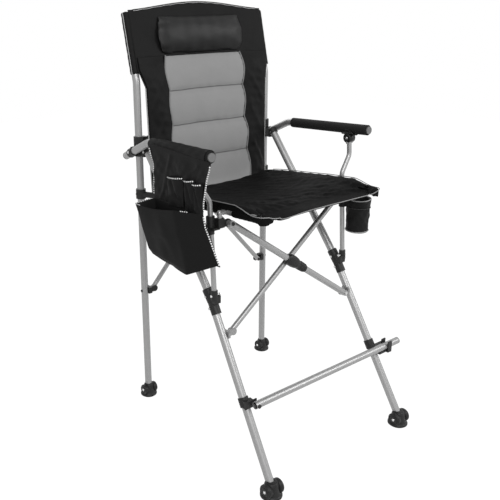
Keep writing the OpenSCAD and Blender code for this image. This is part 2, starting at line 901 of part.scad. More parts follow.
module pocket(bag_x) {
    long = bag_rear_y - bag_front_y - 30;
    difference() {
        pocket_block(bag_x - 3, pocket_out + 6, long, 0);
        pocket_block(bag_x + bag_cloth + 5, pocket_out - 2 * bag_cloth - 2, long, bag_cloth);
    }
}

// The outline carried outwards, with its front face slanting back to the outer side
module pocket_block(x, wide, long, inset) {
    intersection() {
        translate([x, bag_front_y + 10, 0])
            rotate([90, 0, 90])
                linear_extrude(wide)
                    pocket_outline(long, inset);
        translate([bag_x - 3, bag_front_y, pocket_low - 20])
            linear_extrude(pocket_top - pocket_low + 60)
                polygon([
                    [-1, -44 + 1.5 * inset], [pocket_out + 8, 28 + 1.5 * inset], [pocket_out + 8, 330], [-1, 330]
                ]);
    }
}

module pocket_outline(long, inset) {
    polygon([
        [inset - 52, pocket_low + 46 + inset],
        [24, pocket_low + 2 + inset],
        [long / 2, pocket_low + inset],
        [long - 51 - inset, pocket_low + 16 + inset],
        [long + 14 - inset, pocket_top - 8],
        [long + 14 - inset, pocket_top + 1],
        [32 + inset, pocket_top + 1],
        [5 + inset, 740]
    ]);
}

module slot_pocket(bag_x, i) {
    translate([bag_x, (bag_front_y + bag_rear_y) / 2, 0])
        rotate([0, 0, 4])
            translate([0, -115 + i * 76, 766])
                cube([6.5, 60, 88]);
}

// Insulated cup holder, strapped to the right arm post
module cup_holder() {
    cloth = 4;
    strap_at = cup_pos + [0, 0, cup_h - 26];
    on_post = [arm_post_x, 0, 0] + at_plane((strap_at.z - arm_post_low.z + 8) / cos(plane_lean));
    color([0.13, 0.13, 0.13])
        difference() {
            union() {
                translate(cup_pos) cylinder(d1 = cup_d - 6, d2 = cup_d, h = cup_h);
                translate([on_post.x, on_post.y - 11, strap_at.z]) cube([30, 20, 18]);
                rod(on_post - 10 * plane_up, on_post + 10 * plane_up, arm_post_d + 8);
            }
            translate(cup_pos + [0, 0, cloth])
                cylinder(d1 = cup_d - 6 - 2 * cloth, d2 = cup_d - 2 * cloth, h = cup_h);
            rod(on_post - 40 * plane_up, on_post + 40 * plane_up, arm_post_d + 2 * fit);
        }
}

rear_post(-1);  // rear_post_left
rear_post(1);  // rear_post_right
tube_plugs(-1);  // tube_plugs_left
tube_plugs(1);  // tube_plugs_right
rear_foot(-1);  // rear_foot_left
rear_foot(1);  // rear_foot_right
front_foot(-1);  // front_foot_left
front_foot(1);  // front_foot_right
upper_leg(-1);  // upper_leg_left
upper_leg(1);  // upper_leg_right
front_leg(-1);  // front_leg_left
front_leg(1);  // front_leg_right
leg_clamp(-1);  // leg_clamp_left
leg_clamp(1);  // leg_clamp_right
clamp_rivets(-1);  // clamp_rivets_left
clamp_rivets(1);  // clamp_rivets_right
arm_post(-1);  // arm_post_left
arm_post(1);  // arm_post_right
arm_tube(-1);  // arm_tube_left
arm_tube(1);  // arm_tube_right
arm_pad(-1);  // arm_pad_left
arm_pad(1);  // arm_pad_right
arm_bracket(-1);  // arm_bracket_left
arm_bracket(1);  // arm_bracket_right
arm_ear(-1);  // arm_ear_left
arm_ear(1);  // arm_ear_right
arm_rivet_set(-1);  // arm_rivets_left
arm_rivet_set(1);  // arm_rivets_right
back_bracket(-1);  // back_bracket_left
back_bracket(1);  // back_bracket_right
back_collar(-1);  // back_collar_left
back_collar(1);  // back_collar_right
back_x_tube(-1);  // back_x_tube_a
back_x_tube(1);  // back_x_tube_b
back_x_rivet();
front_bracket(-1);  // front_bracket_left
front_bracket(1);  // front_bracket_right
front_x_thin();
front_x_wide();
front_x_hub();
front_x_rivet();
seat_collar(-1);  // seat_collar_left
seat_collar(1);  // seat_collar_right
seat_cradle(-1);  // seat_cradle_left
seat_cradle(1);  // seat_cradle_right
seat_rail(-1);  // seat_rail_left
seat_rail(1);  // seat_rail_right
rail_carrier(-1);  // rail_carrier_left
rail_carrier(1);  // rail_carrier_right
footrest_bar();
footrest_plugs();
footrest_bracket();
footrest_clip();
seat_pad();
back_panel();
back_cushion();
head_pillow();
side_bag();
cup_holder();
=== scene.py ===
import math

import bmesh
import bpy
import numpy as np
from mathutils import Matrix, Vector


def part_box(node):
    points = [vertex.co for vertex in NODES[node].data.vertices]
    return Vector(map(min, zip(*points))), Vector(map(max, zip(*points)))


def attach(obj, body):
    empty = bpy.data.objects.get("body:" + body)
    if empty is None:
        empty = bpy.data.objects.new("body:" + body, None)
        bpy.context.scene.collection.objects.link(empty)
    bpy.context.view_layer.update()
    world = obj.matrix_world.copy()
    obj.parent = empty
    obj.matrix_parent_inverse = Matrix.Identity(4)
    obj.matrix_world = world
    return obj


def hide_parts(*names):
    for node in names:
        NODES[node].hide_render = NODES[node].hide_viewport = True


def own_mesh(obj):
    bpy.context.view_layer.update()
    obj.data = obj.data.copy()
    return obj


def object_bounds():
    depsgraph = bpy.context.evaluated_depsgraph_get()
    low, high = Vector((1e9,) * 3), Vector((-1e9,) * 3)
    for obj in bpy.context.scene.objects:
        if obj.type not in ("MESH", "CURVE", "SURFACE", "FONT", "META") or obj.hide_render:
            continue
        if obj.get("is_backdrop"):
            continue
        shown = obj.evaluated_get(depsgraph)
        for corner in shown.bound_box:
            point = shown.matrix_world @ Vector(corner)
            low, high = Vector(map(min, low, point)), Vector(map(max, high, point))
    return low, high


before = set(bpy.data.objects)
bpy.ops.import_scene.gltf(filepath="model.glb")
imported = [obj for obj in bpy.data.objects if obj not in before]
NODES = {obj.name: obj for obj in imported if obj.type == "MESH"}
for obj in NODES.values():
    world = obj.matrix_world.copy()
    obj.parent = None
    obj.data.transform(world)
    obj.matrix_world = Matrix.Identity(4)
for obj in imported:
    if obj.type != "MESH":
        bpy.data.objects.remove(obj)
SOLID_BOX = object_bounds()

bl_info = {
    "name": "Tall director chair",
    "version": (1, 0, 0),
    "blender": (4, 5, 0),
    "location": "View3D > Sidebar > Chair",
    "description": "Cloth, padding, finishes and stage of a tall folding director chair",
    "category": "Object",
}

MM = 0.001
REAR_Y = float(np.mean([corner[1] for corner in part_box("rear_foot_left")])) / MM
POST_X = float(np.mean([corner[0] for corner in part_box("rear_foot_right")])) / MM

SIDES = ((-1, "left"), (1, "right"))
ROUND = 2 * math.pi

# Lengths are in millimetres where no comment says otherwise
# Lines down the back's cloth, in the middle and at its edges: heights against depths behind the rear feet
BACK_MID = (
    [739, 768, 800, 873, 932, 975, 1090, 1193, 1300, 1362],
    [-24, -20, -16, -9, -1, 9, 28, 43, 61, 69],
)
BACK_EDGE = (
    [739, 768, 873, 943, 1000, 1100, 1138, 1160, 1362],
    [-22, -18, -11, -9, -7, -3, 7, 15, 67],
)
# Half the width of the back's cloth: heights against widths
BACK_HALF = ([739, 900, 1100, 1156, 1362], [250, 252, 256, POST_X, POST_X])
BACK_LOW = 739
# How far the sling's middle is in front of the line that it follows
SLING_FRONT = 1.2
# Half the width over which the cloth goes from its middle line to its edge line
BACK_REACH = 250
# Heights between which the quilted cushion lies, and its rear's distance from the sling's middle
QUILT_LOW = 742
QUILT_TOP = 1194
QUILT_GAP = 4.2
# Points on the axes of the right post, rail and arm
POST_BEND = np.array([POST_X, REAR_Y + 1117 * math.tan(math.radians(1)), 1117.0])
POST_UP = np.array([0, math.sin(math.radians(14)), math.cos(math.radians(14))])
RAIL_REAR = np.array([240, REAR_Y - 56, 756.0])
RAIL_FRONT = np.array([240, REAR_Y - 545, 796.0])
ARM_BEND = np.array([POST_X + 27, REAR_Y - 84, 943.0])
ARM_FRONT = np.array([POST_X + 51, REAR_Y - 432, 961.0])
# Angle at which the arm posts lean back, in radians
POST_LEAN = math.radians(4.6)
# Edge of the even mesh that a pad is given, and steps for which it swells
PUFF_CELL = 5
PUFF_STEPS = 20
WEAVE = 1.1
STITCH_PITCH = 7.0


def unit(v):
    """The vector scaled to length one."""
    return v / np.linalg.norm(v)


def smooth(t):
    """Smooth step: 3 t^2 - 2 t^3, with t held between 0 and 1."""
    t = np.clip(t, 0, 1)
    return t * t * (3 - 2 * t)


def power(wave, exponent):
    """A wave raised to a power with its sign kept, which squares off a circle when the power is under 1."""
    return np.sign(wave) * np.abs(wave) ** exponent


def grid(first, second):
    """Two parameters on a grid, each from the start, stop and count of its steps."""
    return np.meshgrid(np.linspace(*first), np.linspace(*second), indexing="ij")


def circle(count):
    """Angles of a number of even steps round a circle."""
    return np.linspace(0, ROUND, count, endpoint=False)


def as_points(*parts):
    """Points, or UV points, from one array for each of their parts."""
    return np.stack(parts, axis=-1)


def distance_along(path):
    """Distance of each point of a path from its start, along the path."""
    return np.concatenate([[0], np.cumsum(np.linalg.norm(np.diff(path, axis=0), axis=1))])


def ripple(a, b, seed, wave):
    """Sum of nine sines of a and b with seeded directions and phases, about one wave apart, from -1 to 1."""
    rng = np.random.default_rng(seed)
    count = 9
    total = np.zeros(np.broadcast(a, b).shape)
    for _ in range(count):
        turn = rng.uniform(0, math.pi)
        length = wave * rng.uniform(0.6, 1.6)
        total = total + np.sin(
            ROUND * (a * math.cos(turn) + b * math.sin(turn)) / length + rng.uniform(0, 6.3)
        )
    return total / math.sqrt(count * 2)


def fold(a, b, start, end, width, depth):
    """A rounded ridge along the line from start to end: depth times exp of -(distance / width) squared."""
    p, q = np.array(start, float), np.array(end, float)
    d = q - p
    t = np.clip(((a - p[0]) * d[0] + (b - p[1]) * d[1]) / (d @ d), 0, 1)
    away = np.hypot(a - p[0] - t * d[0], b - p[1] - t * d[1])
    return depth * np.exp(-((away / width) ** 2))


def grid_faces(rows, cols, wrap_rows=False, wrap_cols=False, first=0):
    """Quads of a grid of rows by cols points, joined round where a direction wraps."""
    i, j = np.meshgrid(
        np.arange(rows if wrap_rows else rows - 1), np.arange(cols if wrap_cols else cols - 1), indexing="ij"
    )
    i, j = i.ravel(), j.ravel()
    i2, j2 = (i + 1) % rows, (j + 1) % cols
    return first + as_points(i * cols + j, i2 * cols + j, i2 * cols + j2, i * cols + j2)


def add_mesh(name, points, faces, uv=None):
    """A mesh object at the origin from points in millimetres, faces as index lists and a UV per point."""
    mesh = bpy.data.meshes.new(name)
    mesh.from_pydata((np.asarray(points, float) * MM).tolist(), [], [list(map(int, f)) for f in faces])
    if uv is not None:
        layer = mesh.uv_layers.new(name="cloth")
        corner = np.empty(len(mesh.loops), int)
        mesh.loops.foreach_get("vertex_index", corner)
        layer.data.foreach_set("uv", (np.asarray(uv, float) * MM)[corner].ravel())
    mesh.validate()
    mesh.polygons.foreach_set("use_smooth", [True] * len(mesh.polygons))
    mesh.update()
    piece = bpy.data.objects.new(name, mesh)
    bpy.context.scene.collection.objects.link(piece)
    return piece


def point_out(piece):
    """Turns all faces of a closed mesh outwards."""
    work = bmesh.new()
    work.from_mesh(piece.data)
    bmesh.ops.recalc_face_normals(work, faces=work.faces)
    work.to_mesh(piece.data)
    work.free()
    return piece


def slab(name, upper, lower, uv=None):
    """A closed solid between two grids of points of one shape."""
    rows, cols = upper.shape[:2]
    count = rows * cols
    rim = np.concatenate([
        np.arange(cols), np.arange(1, rows) * cols + cols - 1,
        (rows - 1) * cols + np.arange(cols - 2, -1, -1), np.arange(rows - 2, 0, -1) * cols,
    ])
    nxt = np.roll(rim, -1)
    faces = np.concatenate([
        grid_faces(rows, cols),
        grid_faces(rows, cols, first=count)[:, ::-1],
        as_points(rim, nxt, nxt + count, rim + count),
    ])
    points = np.concatenate([upper.reshape(-1, 3), lower.reshape(-1, 3)])
    twice = None if uv is None else np.concatenate([uv.reshape(-1, 2), uv.reshape(-1, 2)])
    return point_out(add_mesh(name, points, faces, twice))


def sweep(name, path, radius, sides, up=(0, 0, 1), closed=False):
    """A tube: a circle of a radius, square to the path, carried along the path."""
    path = np.asarray(path, float)
    n = len(path)
    radius = np.broadcast_to(np.asarray(radius, float), (n,))
    if closed:
        along = np.roll(path, -1, 0) - np.roll(path, 1, 0)
    else:
        along = np.gradient(path, axis=0)
    along = along / np.linalg.norm(along, axis=1, keepdims=True)
    across = np.cross(along, np.asarray(up, float))
    across = across / np.maximum(np.linalg.norm(across, axis=1, keepdims=True), 1e-9)
    over = np.cross(across, along)
    turn = circle(sides)[:, None]
    ring = across[:, None] * np.cos(turn) + over[:, None] * np.sin(turn)
    points = path[:, None] + ring * radius[:, None, None]
    faces = grid_faces(n, sides, wrap_rows=closed, wrap_cols=True).tolist()
    if not closed:
        faces += [list(range(sides)), [(n - 1) * sides + k for k in range(sides)][::-1]]
    return point_out(add_mesh(name, points.reshape(-1, 3), faces))


def piping(name, path, radius):
    """A round cord carried along a path, with the distance along it in its UV map."""
    sides = 10
    cord = sweep(name, path, radius, sides)
    gone = distance_along(path)
    layer = cord.data.uv_layers.new(name="cloth")
    corner = np.empty(len(cord.data.loops), int)
    cord.data.loops.foreach_get("vertex_index", corner)
    uv = as_points(gone[corner // sides], (corner % sides).astype(float)) * MM
    layer.data.foreach_set("uv", uv.ravel())
    return cord


def rounded_sweep(name, path, radius, end, sides):
    """A tube whose radius follows a quarter circle of a length to nothing at both ends."""
    gone = distance_along(path)
    away = np.minimum(gone, gone[-1] - gone)
    shrink = np.sqrt(np.clip(1 - (1 - np.clip(away / end, 0, 1)) ** 2, 0.0025, 1))
    return sweep(name, path, radius * shrink, sides)


def loft(name, rings):
    """A closed solid through rings of points, with a flat cap on its first and last ring."""
    rows, cols = rings.shape[:2]
    faces = grid_faces(rows, cols, wrap_cols=True).tolist()
    faces += [list(range(cols))[::-1], list(range((rows - 1) * cols, rows * cols))]
    return point_out(add_mesh(name, rings.reshape(-1, 3), faces))


def resample(points, count):
    """The points of a polyline, rounded with a cubic through them, at even steps of its length."""
    p = np.asarray(points, float)
    t = np.arange(len(p))
    fine = np.linspace(0, len(p) - 1, 40 * len(p))
    m = np.gradient(p, axis=0)
    k = np.minimum(fine.astype(int), len(p) - 2)
    s = (fine - t[k])[:, None]
    curve = (
        (2 * s**3 - 3 * s**2 + 1) * p[k] + (s**3 - 2 * s**2 + s) * m[k]
        + (3 * s**2 - 2 * s**3) * p[k + 1] + (s**3 - s**2) * m[k + 1]
    )
    gone = distance_along(curve)
    want = np.linspace(0, gone[-1], count)
    return as_points(*(np.interp(want, gone, column) for column in curve.T))


def join(name, pieces):
    """Joins mesh objects into one that keeps the name."""
    for other in bpy.context.selected_objects:
        other.select_set(False)
    for piece in pieces:
        piece.select_set(True)
    bpy.context.view_layer.objects.active = pieces[0]
    bpy.ops.object.join()
    whole = bpy.context.view_layer.objects.active
    whole.name = name
    whole.data.name = name
    return whole


def soften(piece):
    """Adds a subdivision surface of one level, the same in view and render."""
    smoother = piece.modifiers.new("smooth", "SUBSURF")
    smoother.levels = 1
    smoother.render_levels = 1


def apply_modifiers(piece):
    """Replaces the mesh with its evaluated one and drops the modifiers."""
    shown = piece.evaluated_get(bpy.context.evaluated_depsgraph_get())
    mesh = bpy.data.meshes.new_from_object(shown)
    piece.modifiers.clear()
    old = piece.data
    piece.data = mesh
    mesh.name = piece.name
    bpy.data.meshes.remove(old)
    mesh.polygons.foreach_set("use_smooth", [True] * len(mesh.polygons))


def points_of(piece):
    """The vertices as an array in metres."""
    out = np.empty(len(piece.data.vertices) * 3)
    piece.data.vertices.foreach_get("co", out)
    return out.reshape(-1, 3)


def set_points(piece, points):
    """Writes vertices in metres."""
    piece.data.vertices.foreach_set("co", np.asarray(points, float).ravel())
    piece.data.update()


def puff(piece, cap, hold, pressure):
    """Remeshes a closed pad evenly, swells it as cloth under pressure and caps each point's travel.

    hold gives the share, from 0 to 1, by which each point of an array in millimetres is held in place.
    """
    even = piece.modifiers.new("even", "REMESH")
    even.mode = "VOXEL"
    even.voxel_size = PUFF_CELL * MM
    apply_modifiers(piece)
    rest = points_of(piece)
    group = piece.vertex_groups.new(name="hold")
    weight = np.clip(hold(rest / MM), 0, 1)
    for level in range(1, 11):
        picked = np.flatnonzero(np.round(weight * 10).astype(int) == level)
        if len(picked):
            group.add(picked.tolist(), level / 10, "REPLACE")
    cloth = piece.modifiers.new("cloth", "CLOTH")
    facts = cloth.settings
    facts.quality = 6
    facts.mass = 0.3
    facts.tension_stiffness = 12
    facts.compression_stiffness = 12
    facts.shear_stiffness = 5
    facts.bending_stiffness = 0.4
    facts.use_pressure = True
    facts.uniform_pressure_force = pressure
    facts.vertex_group_mass = "hold"
    facts.effector_weights.gravity = 0
    cloth.point_cache.frame_start = 1
    cloth.point_cache.frame_end = PUFF_STEPS
    scene = bpy.context.scene
    for step in range(1, PUFF_STEPS + 1):
        scene.frame_set(step)
    shown = piece.evaluated_get(bpy.context.evaluated_depsgraph_get())
    moved = np.empty(len(rest) * 3)
    shown.data.vertices.foreach_get("co", moved)
    shift = moved.reshape(-1, 3) - rest
    far = np.linalg.norm(shift, axis=1, keepdims=True)
    limit = cap * MM
    shift = shift * np.where(far > limit, limit / np.maximum(far, 1e-9), 1)
    piece.modifiers.clear()
    piece.vertex_groups.clear()
    set_points(piece, rest + shift)
    scene.frame_set(1)


class Link:
    """One output socket of a node, with arithmetic that adds Math nodes."""

    def __init__(self, book, socket):
        self.book = book
        self.socket = socket

    def _math(self, operation, *values):
        return self.book.node("ShaderNodeMath", {"operation": operation}, *values)

    def __add__(self, other):
        return self._math("ADD", self, other)

    __radd__ = __add__

    def __sub__(self, other):
        return self._math("SUBTRACT", self, other)

    def __rsub__(self, other):
        return self._math("SUBTRACT", other, self)

    def __mul__(self, other):
        return self._math("MULTIPLY", self, other)

    __rmul__ = __mul__

    def __gt__(self, other):
        return self._math("GREATER_THAN", self, other)

    def __lt__(self, other):
        return self._math("LESS_THAN", self, other)

    def greater(self, other):
        return self._math("MAXIMUM", self, other)

    def sine(self):
        return self._math("SINE", self)

    def size(self):
        return self._math("ABSOLUTE", self)

    def part(self):
        return self._math("FRACT", self)

    def held(self):
        return self.book.node("ShaderNodeClamp", {}, self)


class Book:
    """The nodes of a material or of the world, from its tree and the type of its output node."""

    def __init__(self, owner, output):
        owner.use_nodes = True
        self.tree = owner.node_tree
        self.tree.nodes.clear()
        self.out = self.tree.nodes.new(output)

    def feed(self, socket, value):
        if isinstance(value, Link):
            self.tree.links.new(value.socket, socket)
        elif value is not None:
            socket.default_value = value

    def node(self, kind, settings, *values, pick=0, **named):
        """Adds a node with settings, then the values or links of its sockets, in order or by name."""
        made = self.tree.nodes.new(kind)
        for key, value in settings.items():
            setattr(made, key, value)
        for socket, value in zip(made.inputs, values):
            self.feed(socket, value)
        for key, value in named.items():
            self.feed(made.inputs[key.replace("_", " ")], value)
        return Link(self, made.outputs[pick])

    def show(self, shader):
        """Links the last shader to the output node."""
        self.feed(self.out.inputs[0], shader)

    def place(self):
        """The point on the piece, in metres."""
        return self.node("ShaderNodeTexCoord", {}, pick="Object")

    def cloth(self):
        """The point on the cloth, in metres along its UV map."""
        return self.node("ShaderNodeUVMap", {"uv_map": "cloth"})

    def split(self, vector):
        """The three parts of a vector."""
        first = self.node("ShaderNodeSeparateXYZ", {}, vector)
        return [Link(self, socket) for socket in first.socket.node.outputs]

    def noise(self, scale, detail, rough):
        """Soft noise from 0 to 1 with about scale grains to the metre."""
        return self.node(
            "ShaderNodeTexNoise", {}, Vector=self.place(), Scale=scale, Detail=detail, Roughness=rough
        )

    def blend(self, share, low, high):
        """Mixes two colours by a share, on the colour sockets behind five that stay as they are."""
        colours = [colour if isinstance(colour, Link) else (*colour, 1) for colour in (low, high)]
        return self.node("ShaderNodeMix", {"data_type": "RGBA"}, share, *[None] * 5, *colours, pick=2)

    def bump(self, height, strength, depth):
        """A bump from a height of a depth in metres."""
        return self.node("ShaderNodeBump", {}, Strength=strength, Distance=depth, Height=height)

    def plain_view(self):
        """1 for a ray that meets the background as it is: from the camera, a gloss or clear glass."""
        kinds = ("Is Camera Ray", "Is Glossy Ray", "Is Transmission Ray")
        camera, gloss, glass = (self.node("ShaderNodeLightPath", {}, pick=kind) for kind in kinds)
        return camera.greater(gloss).greater(glass)


class Finish(Book):
    """A material and the nodes in it."""

    def __init__(self, name):
        self.material = bpy.data.materials.new(name)
        super().__init__(self.material, "ShaderNodeOutputMaterial")

    def surface(self, **sockets):
        """The final shader, with its sockets by name."""
        self.show(self.node("ShaderNodeBsdfPrincipled", {}, **sockets))
        return self.material


def gray(value):
    """A neutral colour."""
    return (value, value, value)


def woven(book, axes):
    """Threads that pass over and under each other: half of sine times sine along two axes, plus a half."""
    parts = book.split(book.place())
    scale = math.pi / (WEAVE * MM)
    return (parts[axes[0]] * scale).sine() * (parts[axes[1]] * scale).sine() * 0.5 + 0.5


def cloth_finish(name, tone, dark, axes, gloss=0.12, rough=0.56):
    """Plain woven cloth: over and under threads in two directions, with broad uneven wear."""
    book = Finish(name)
    threads = woven(book, axes)
    patches = book.noise(9, 4, 0.6)
    grain = book.noise(700, 2, 0.6)
    share = (patches * 0.5 + grain * 0.3 + threads * 0.35 - 0.1).held()
    return book.surface(
        Base_Color=book.blend(share, gray(dark), gray(tone)),
        Roughness=rough + patches * 0.12,
        Specular_IOR_Level=gloss,
        Normal=book.bump(threads * 0.6 + grain * 0.4, 0.5, 0.0004),
    )


def quilt_finish(name, tone, low, pitch):
    """Gray woven cloth with painted shade towards the level seams, and dark along each seam's thread."""
    book = Finish(name)
    parts = book.split(book.place())
    wander = book.noise(14, 2, 0.5) * (5 * MM)
    rows = (parts[2] - low * MM + wander - 2.5 * MM) * (1 / (pitch * MM))
    near = ((rows + 0.5).part() - 0.5).size() * pitch
    thread = (near * -0.55 + 1.35).held()
    # Painted shade: the cloth is darkened within about 16 mm of each seam, where the swollen channels dip
    shade = (near * -0.055 + 0.9).held() * 0.3
    grain = book.noise(900, 3, 0.7)
    patches = book.noise(16, 4, 0.65)
    threads = woven(book, (0, 2))
    share = (shade + patches * 0.35 + grain * 0.25 + threads * 0.15 - 0.2).held()
    colour = book.blend(share, gray(tone), gray(tone * 0.66))
    return book.surface(
        Base_Color=book.blend(thread * 0.8, colour, gray(tone * 0.16)),
        Roughness=0.72 + patches * 0.1,
        Specular_IOR_Level=0.25,
        Normal=book.bump(threads * 0.5 + grain * 0.5, 0.5, 0.0004),
    )


def trim_finish(name, tone):
    """Ribbed binding tape along an edge."""
    book = Finish(name)
    grain = book.noise(900, 2, 0.6)
    return book.surface(
        Base_Color=book.blend(grain, gray(tone * 0.8), gray(tone)),
        Roughness=0.7,
        Normal=book.bump(grain, 0.4, 0.0003),
    )


def dotted_finish(name, tone, dark):
    """Piping with light stitches at an even pitch along its UV map, on a dark cord."""
    book = Finish(name)
    parts = book.split(book.cloth())
    beat = (parts[0] * (1 / (STITCH_PITCH * MM))).part()
    stitch = (beat > 0.38) * (beat < 0.96)
    return book.surface(
        Base_Color=book.blend(stitch, gray(dark), gray(tone)),
        Roughness=0.6,
        Normal=book.bump(stitch, 0.4, 0.0004),
    )


def tube_finish(name, tone, metal, rough):
    """Powder coat: fine orange peel, with thin rubbed places."""
    book = Finish(name)
    peel = book.noise(1400, 2, 0.5)
    worn = book.noise(22, 5, 0.65)
    return book.surface(
        Base_Color=book.blend(worn, gray(tone * 0.93), gray(tone * 1.05)),
        Metallic=metal,
        Roughness=rough + worn * 0.08,
        Normal=book.bump(peel, 0.02, 0.0002),
    )


def moulded_finish(name, tone, rough, grain_depth=0.0002):
    """Moulded plastic or rubber: fine spark grain and a faint uneven shine."""
    book = Finish(name)
    grain = book.noise(1100, 3, 0.6)
    cast = book.noise(30, 3, 0.5)
    return book.surface(
        Base_Color=book.blend(cast, gray(tone * 0.85), gray(tone * 1.1)),
        Roughness=rough + cast * 0.1,
        Specular_IOR_Level=0.24,
        Normal=book.bump(grain, 0.35, grain_depth),
    )


def foam_finish(name, tone):
    """Closed cell foam: small pits and a matte skin."""
    book = Finish(name)
    pits = book.node("ShaderNodeTexVoronoi", {}, Vector=book.place(), Scale=520.0)
    soft = book.noise(60, 3, 0.5)
    return book.surface(
        Base_Color=book.blend(soft, gray(tone * 0.85), gray(tone * 1.15)),
        Roughness=0.82,
        Specular_IOR_Level=0.25,
        Normal=book.bump(pits, 0.5, 0.0004),
    )


def rivet_finish(name):
    """Turned steel: fine rings of brushing."""
    book = Finish(name)
    brush = book.noise(1800, 2, 0.7)
    return book.surface(
        Base_Color=book.blend(brush, gray(0.5), gray(0.68)),
        Metallic=1.0,
        Roughness=0.28 + brush * 0.12,
    )


def paint(piece, material):
    """Puts one material in all slots of a piece."""
    piece.data.materials.clear()
    piece.data.materials.append(material)


def paint_nodes(names, material):
    """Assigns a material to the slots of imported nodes."""
    for name in names:
        for holder in NODES[name].material_slots:
            holder.material = material


def both(*names):
    """The names with their left and right endings."""
    return [f"{name}_{side}" for name in names for side in ("left", "right")]


def back_depth(across, height):
    """Depth of the back's cloth: from its middle line to its edge line by the share across squared."""
    mid = np.interp(height, *BACK_MID)
    edge = np.interp(height, *BACK_EDGE)
    return REAR_Y + mid + np.clip(np.abs(across), 0, 1.1) ** 2 * (edge - mid)


def back_top(across):
    """Height of the sling's upper edge: an arch, cosine to the power 1.5, between flatter corners."""
    return 1337 + 24 * np.clip(np.cos(across * math.pi / 2), 0, 1) ** 1.5


def rail_height(y):
    """Height of the seat rail's axis at a depth, on the straight line between the rail's ends."""
    share = (RAIL_REAR[1] - y) / (RAIL_REAR[1] - RAIL_FRONT[1])
    return RAIL_REAR[2] + share * (RAIL_FRONT[2] - RAIL_REAR[2])


def channel_swell(z, rows):
    """The size of a sine: 0 at each sewn seam and 1 midway, for a number of channels up the cushion."""
    return np.abs(np.sin(math.pi * rows * (z - QUILT_LOW) / (QUILT_TOP - QUILT_LOW)))


def border_line(z, rows):
    """Half width of the gray panel and how far its edge stands off the sling, both fuller between seams."""
    swell = channel_swell(z, rows)
    wander = 2.5 * np.sin(z / 43.0) - 1.5 * np.sin(z / 17.0)
    return 157 + 7 * swell + wander + 14 * smooth((850 - z) / 100), 5.0 + 3.5 * swell ** 0.8


def reflectance(name, description, default):
    """A setting from 0 to 1."""
    return bpy.props.FloatProperty(
        name=name, description=description, default=default, min=0, max=1, subtype="FACTOR"
    )


class ChairClothSettings(bpy.types.PropertyGroup):
    """Tones of the cloth and of its trims."""

    black: reflectance("Black cloth", "Reflectance of the black cloth", 0.007)
    panel: reflectance("Quilted panel", "Reflectance of the gray quilted cloth", 0.27)
    piping: reflectance("Piping", "Reflectance of the light piping", 0.42)
    channels: bpy.props.IntProperty(
        name="Channels", description="Quilted channels on the back cushion", default=4, min=2, max=8,
    )


class ChairFrameSettings(bpy.types.PropertyGroup):
    """Tones of the frame."""

    tube: reflectance("Tube", "Reflectance of the gray tubes", 0.33)
    plastic: reflectance("Black plastic", "Reflectance of the brackets", 0.016)


class ChairStageSettings(bpy.types.PropertyGroup):
    """Camera and light."""

    azimuth: bpy.props.FloatProperty(
        name="Azimuth", description="Direction in which the camera looks", default=math.radians(-37.8),
        subtype="ANGLE", unit="ROTATION",
    )
    elevation: bpy.props.FloatProperty(
        name="Elevation", description="Height of the camera above the level", default=math.radians(17.42),
        subtype="ANGLE", unit="ROTATION",
    )
    distance: bpy.props.FloatProperty(
        name="Distance", description="Distance from the camera to the chair", default=2.4866,
        subtype="DISTANCE", unit="LENGTH",
    )
    light: bpy.props.FloatProperty(
        name="Sky", description="Strength of the even light from all round", default=0.42, min=0, max=3,
    )


class CHAIR_OT_frame_finishes(bpy.types.Operator):
    """Gives the tubes, brackets, feet, rivets and pads their finishes"""

    bl_idname = "chair.frame_finishes"
    bl_label = "Frame finishes"

    def execute(self, context):
        tones = context.scene.chair_frame
        tube = tube_finish("gray powder coat", tones.tube, 0.65, 0.36)
        plate = tube_finish("gray plate", tones.tube * 0.9, 0.5, 0.38)
        plastic = moulded_finish("black plastic", tones.plastic, 0.42)
        rubber = moulded_finish("black rubber", tones.plastic * 0.9, 0.58, 0.0003)
        cap = moulded_finish("gray plastic", 0.15, 0.45)
        foam = foam_finish("black foam", 0.011)
        paint_nodes(
            both("rear_post", "upper_leg", "front_leg", "arm_post", "arm_tube", "seat_rail")
            + ["back_x_tube_a", "back_x_tube_b", "front_x_thin", "front_x_wide", "footrest_bar"],
            tube,
        )
        paint_nodes(both("front_bracket"), plate)
        paint_nodes(
            both("leg_clamp", "arm_bracket", "arm_ear", "back_bracket", "back_collar", "seat_collar",
                 "seat_cradle", "rail_carrier") + ["front_x_hub", "footrest_bracket", "footrest_clip"],
            plastic,
        )
        paint_nodes(both("rear_foot", "front_foot"), rubber)
        paint_nodes(both("tube_plugs") + ["footrest_plugs"], cap)
        paint_nodes(both("arm_pad"), foam)
        paint_nodes(
            both("clamp_rivets", "arm_rivets") + ["back_x_rivet", "front_x_rivet"],
            rivet_finish("rivet steel"),
        )
        return {"FINISHED"}


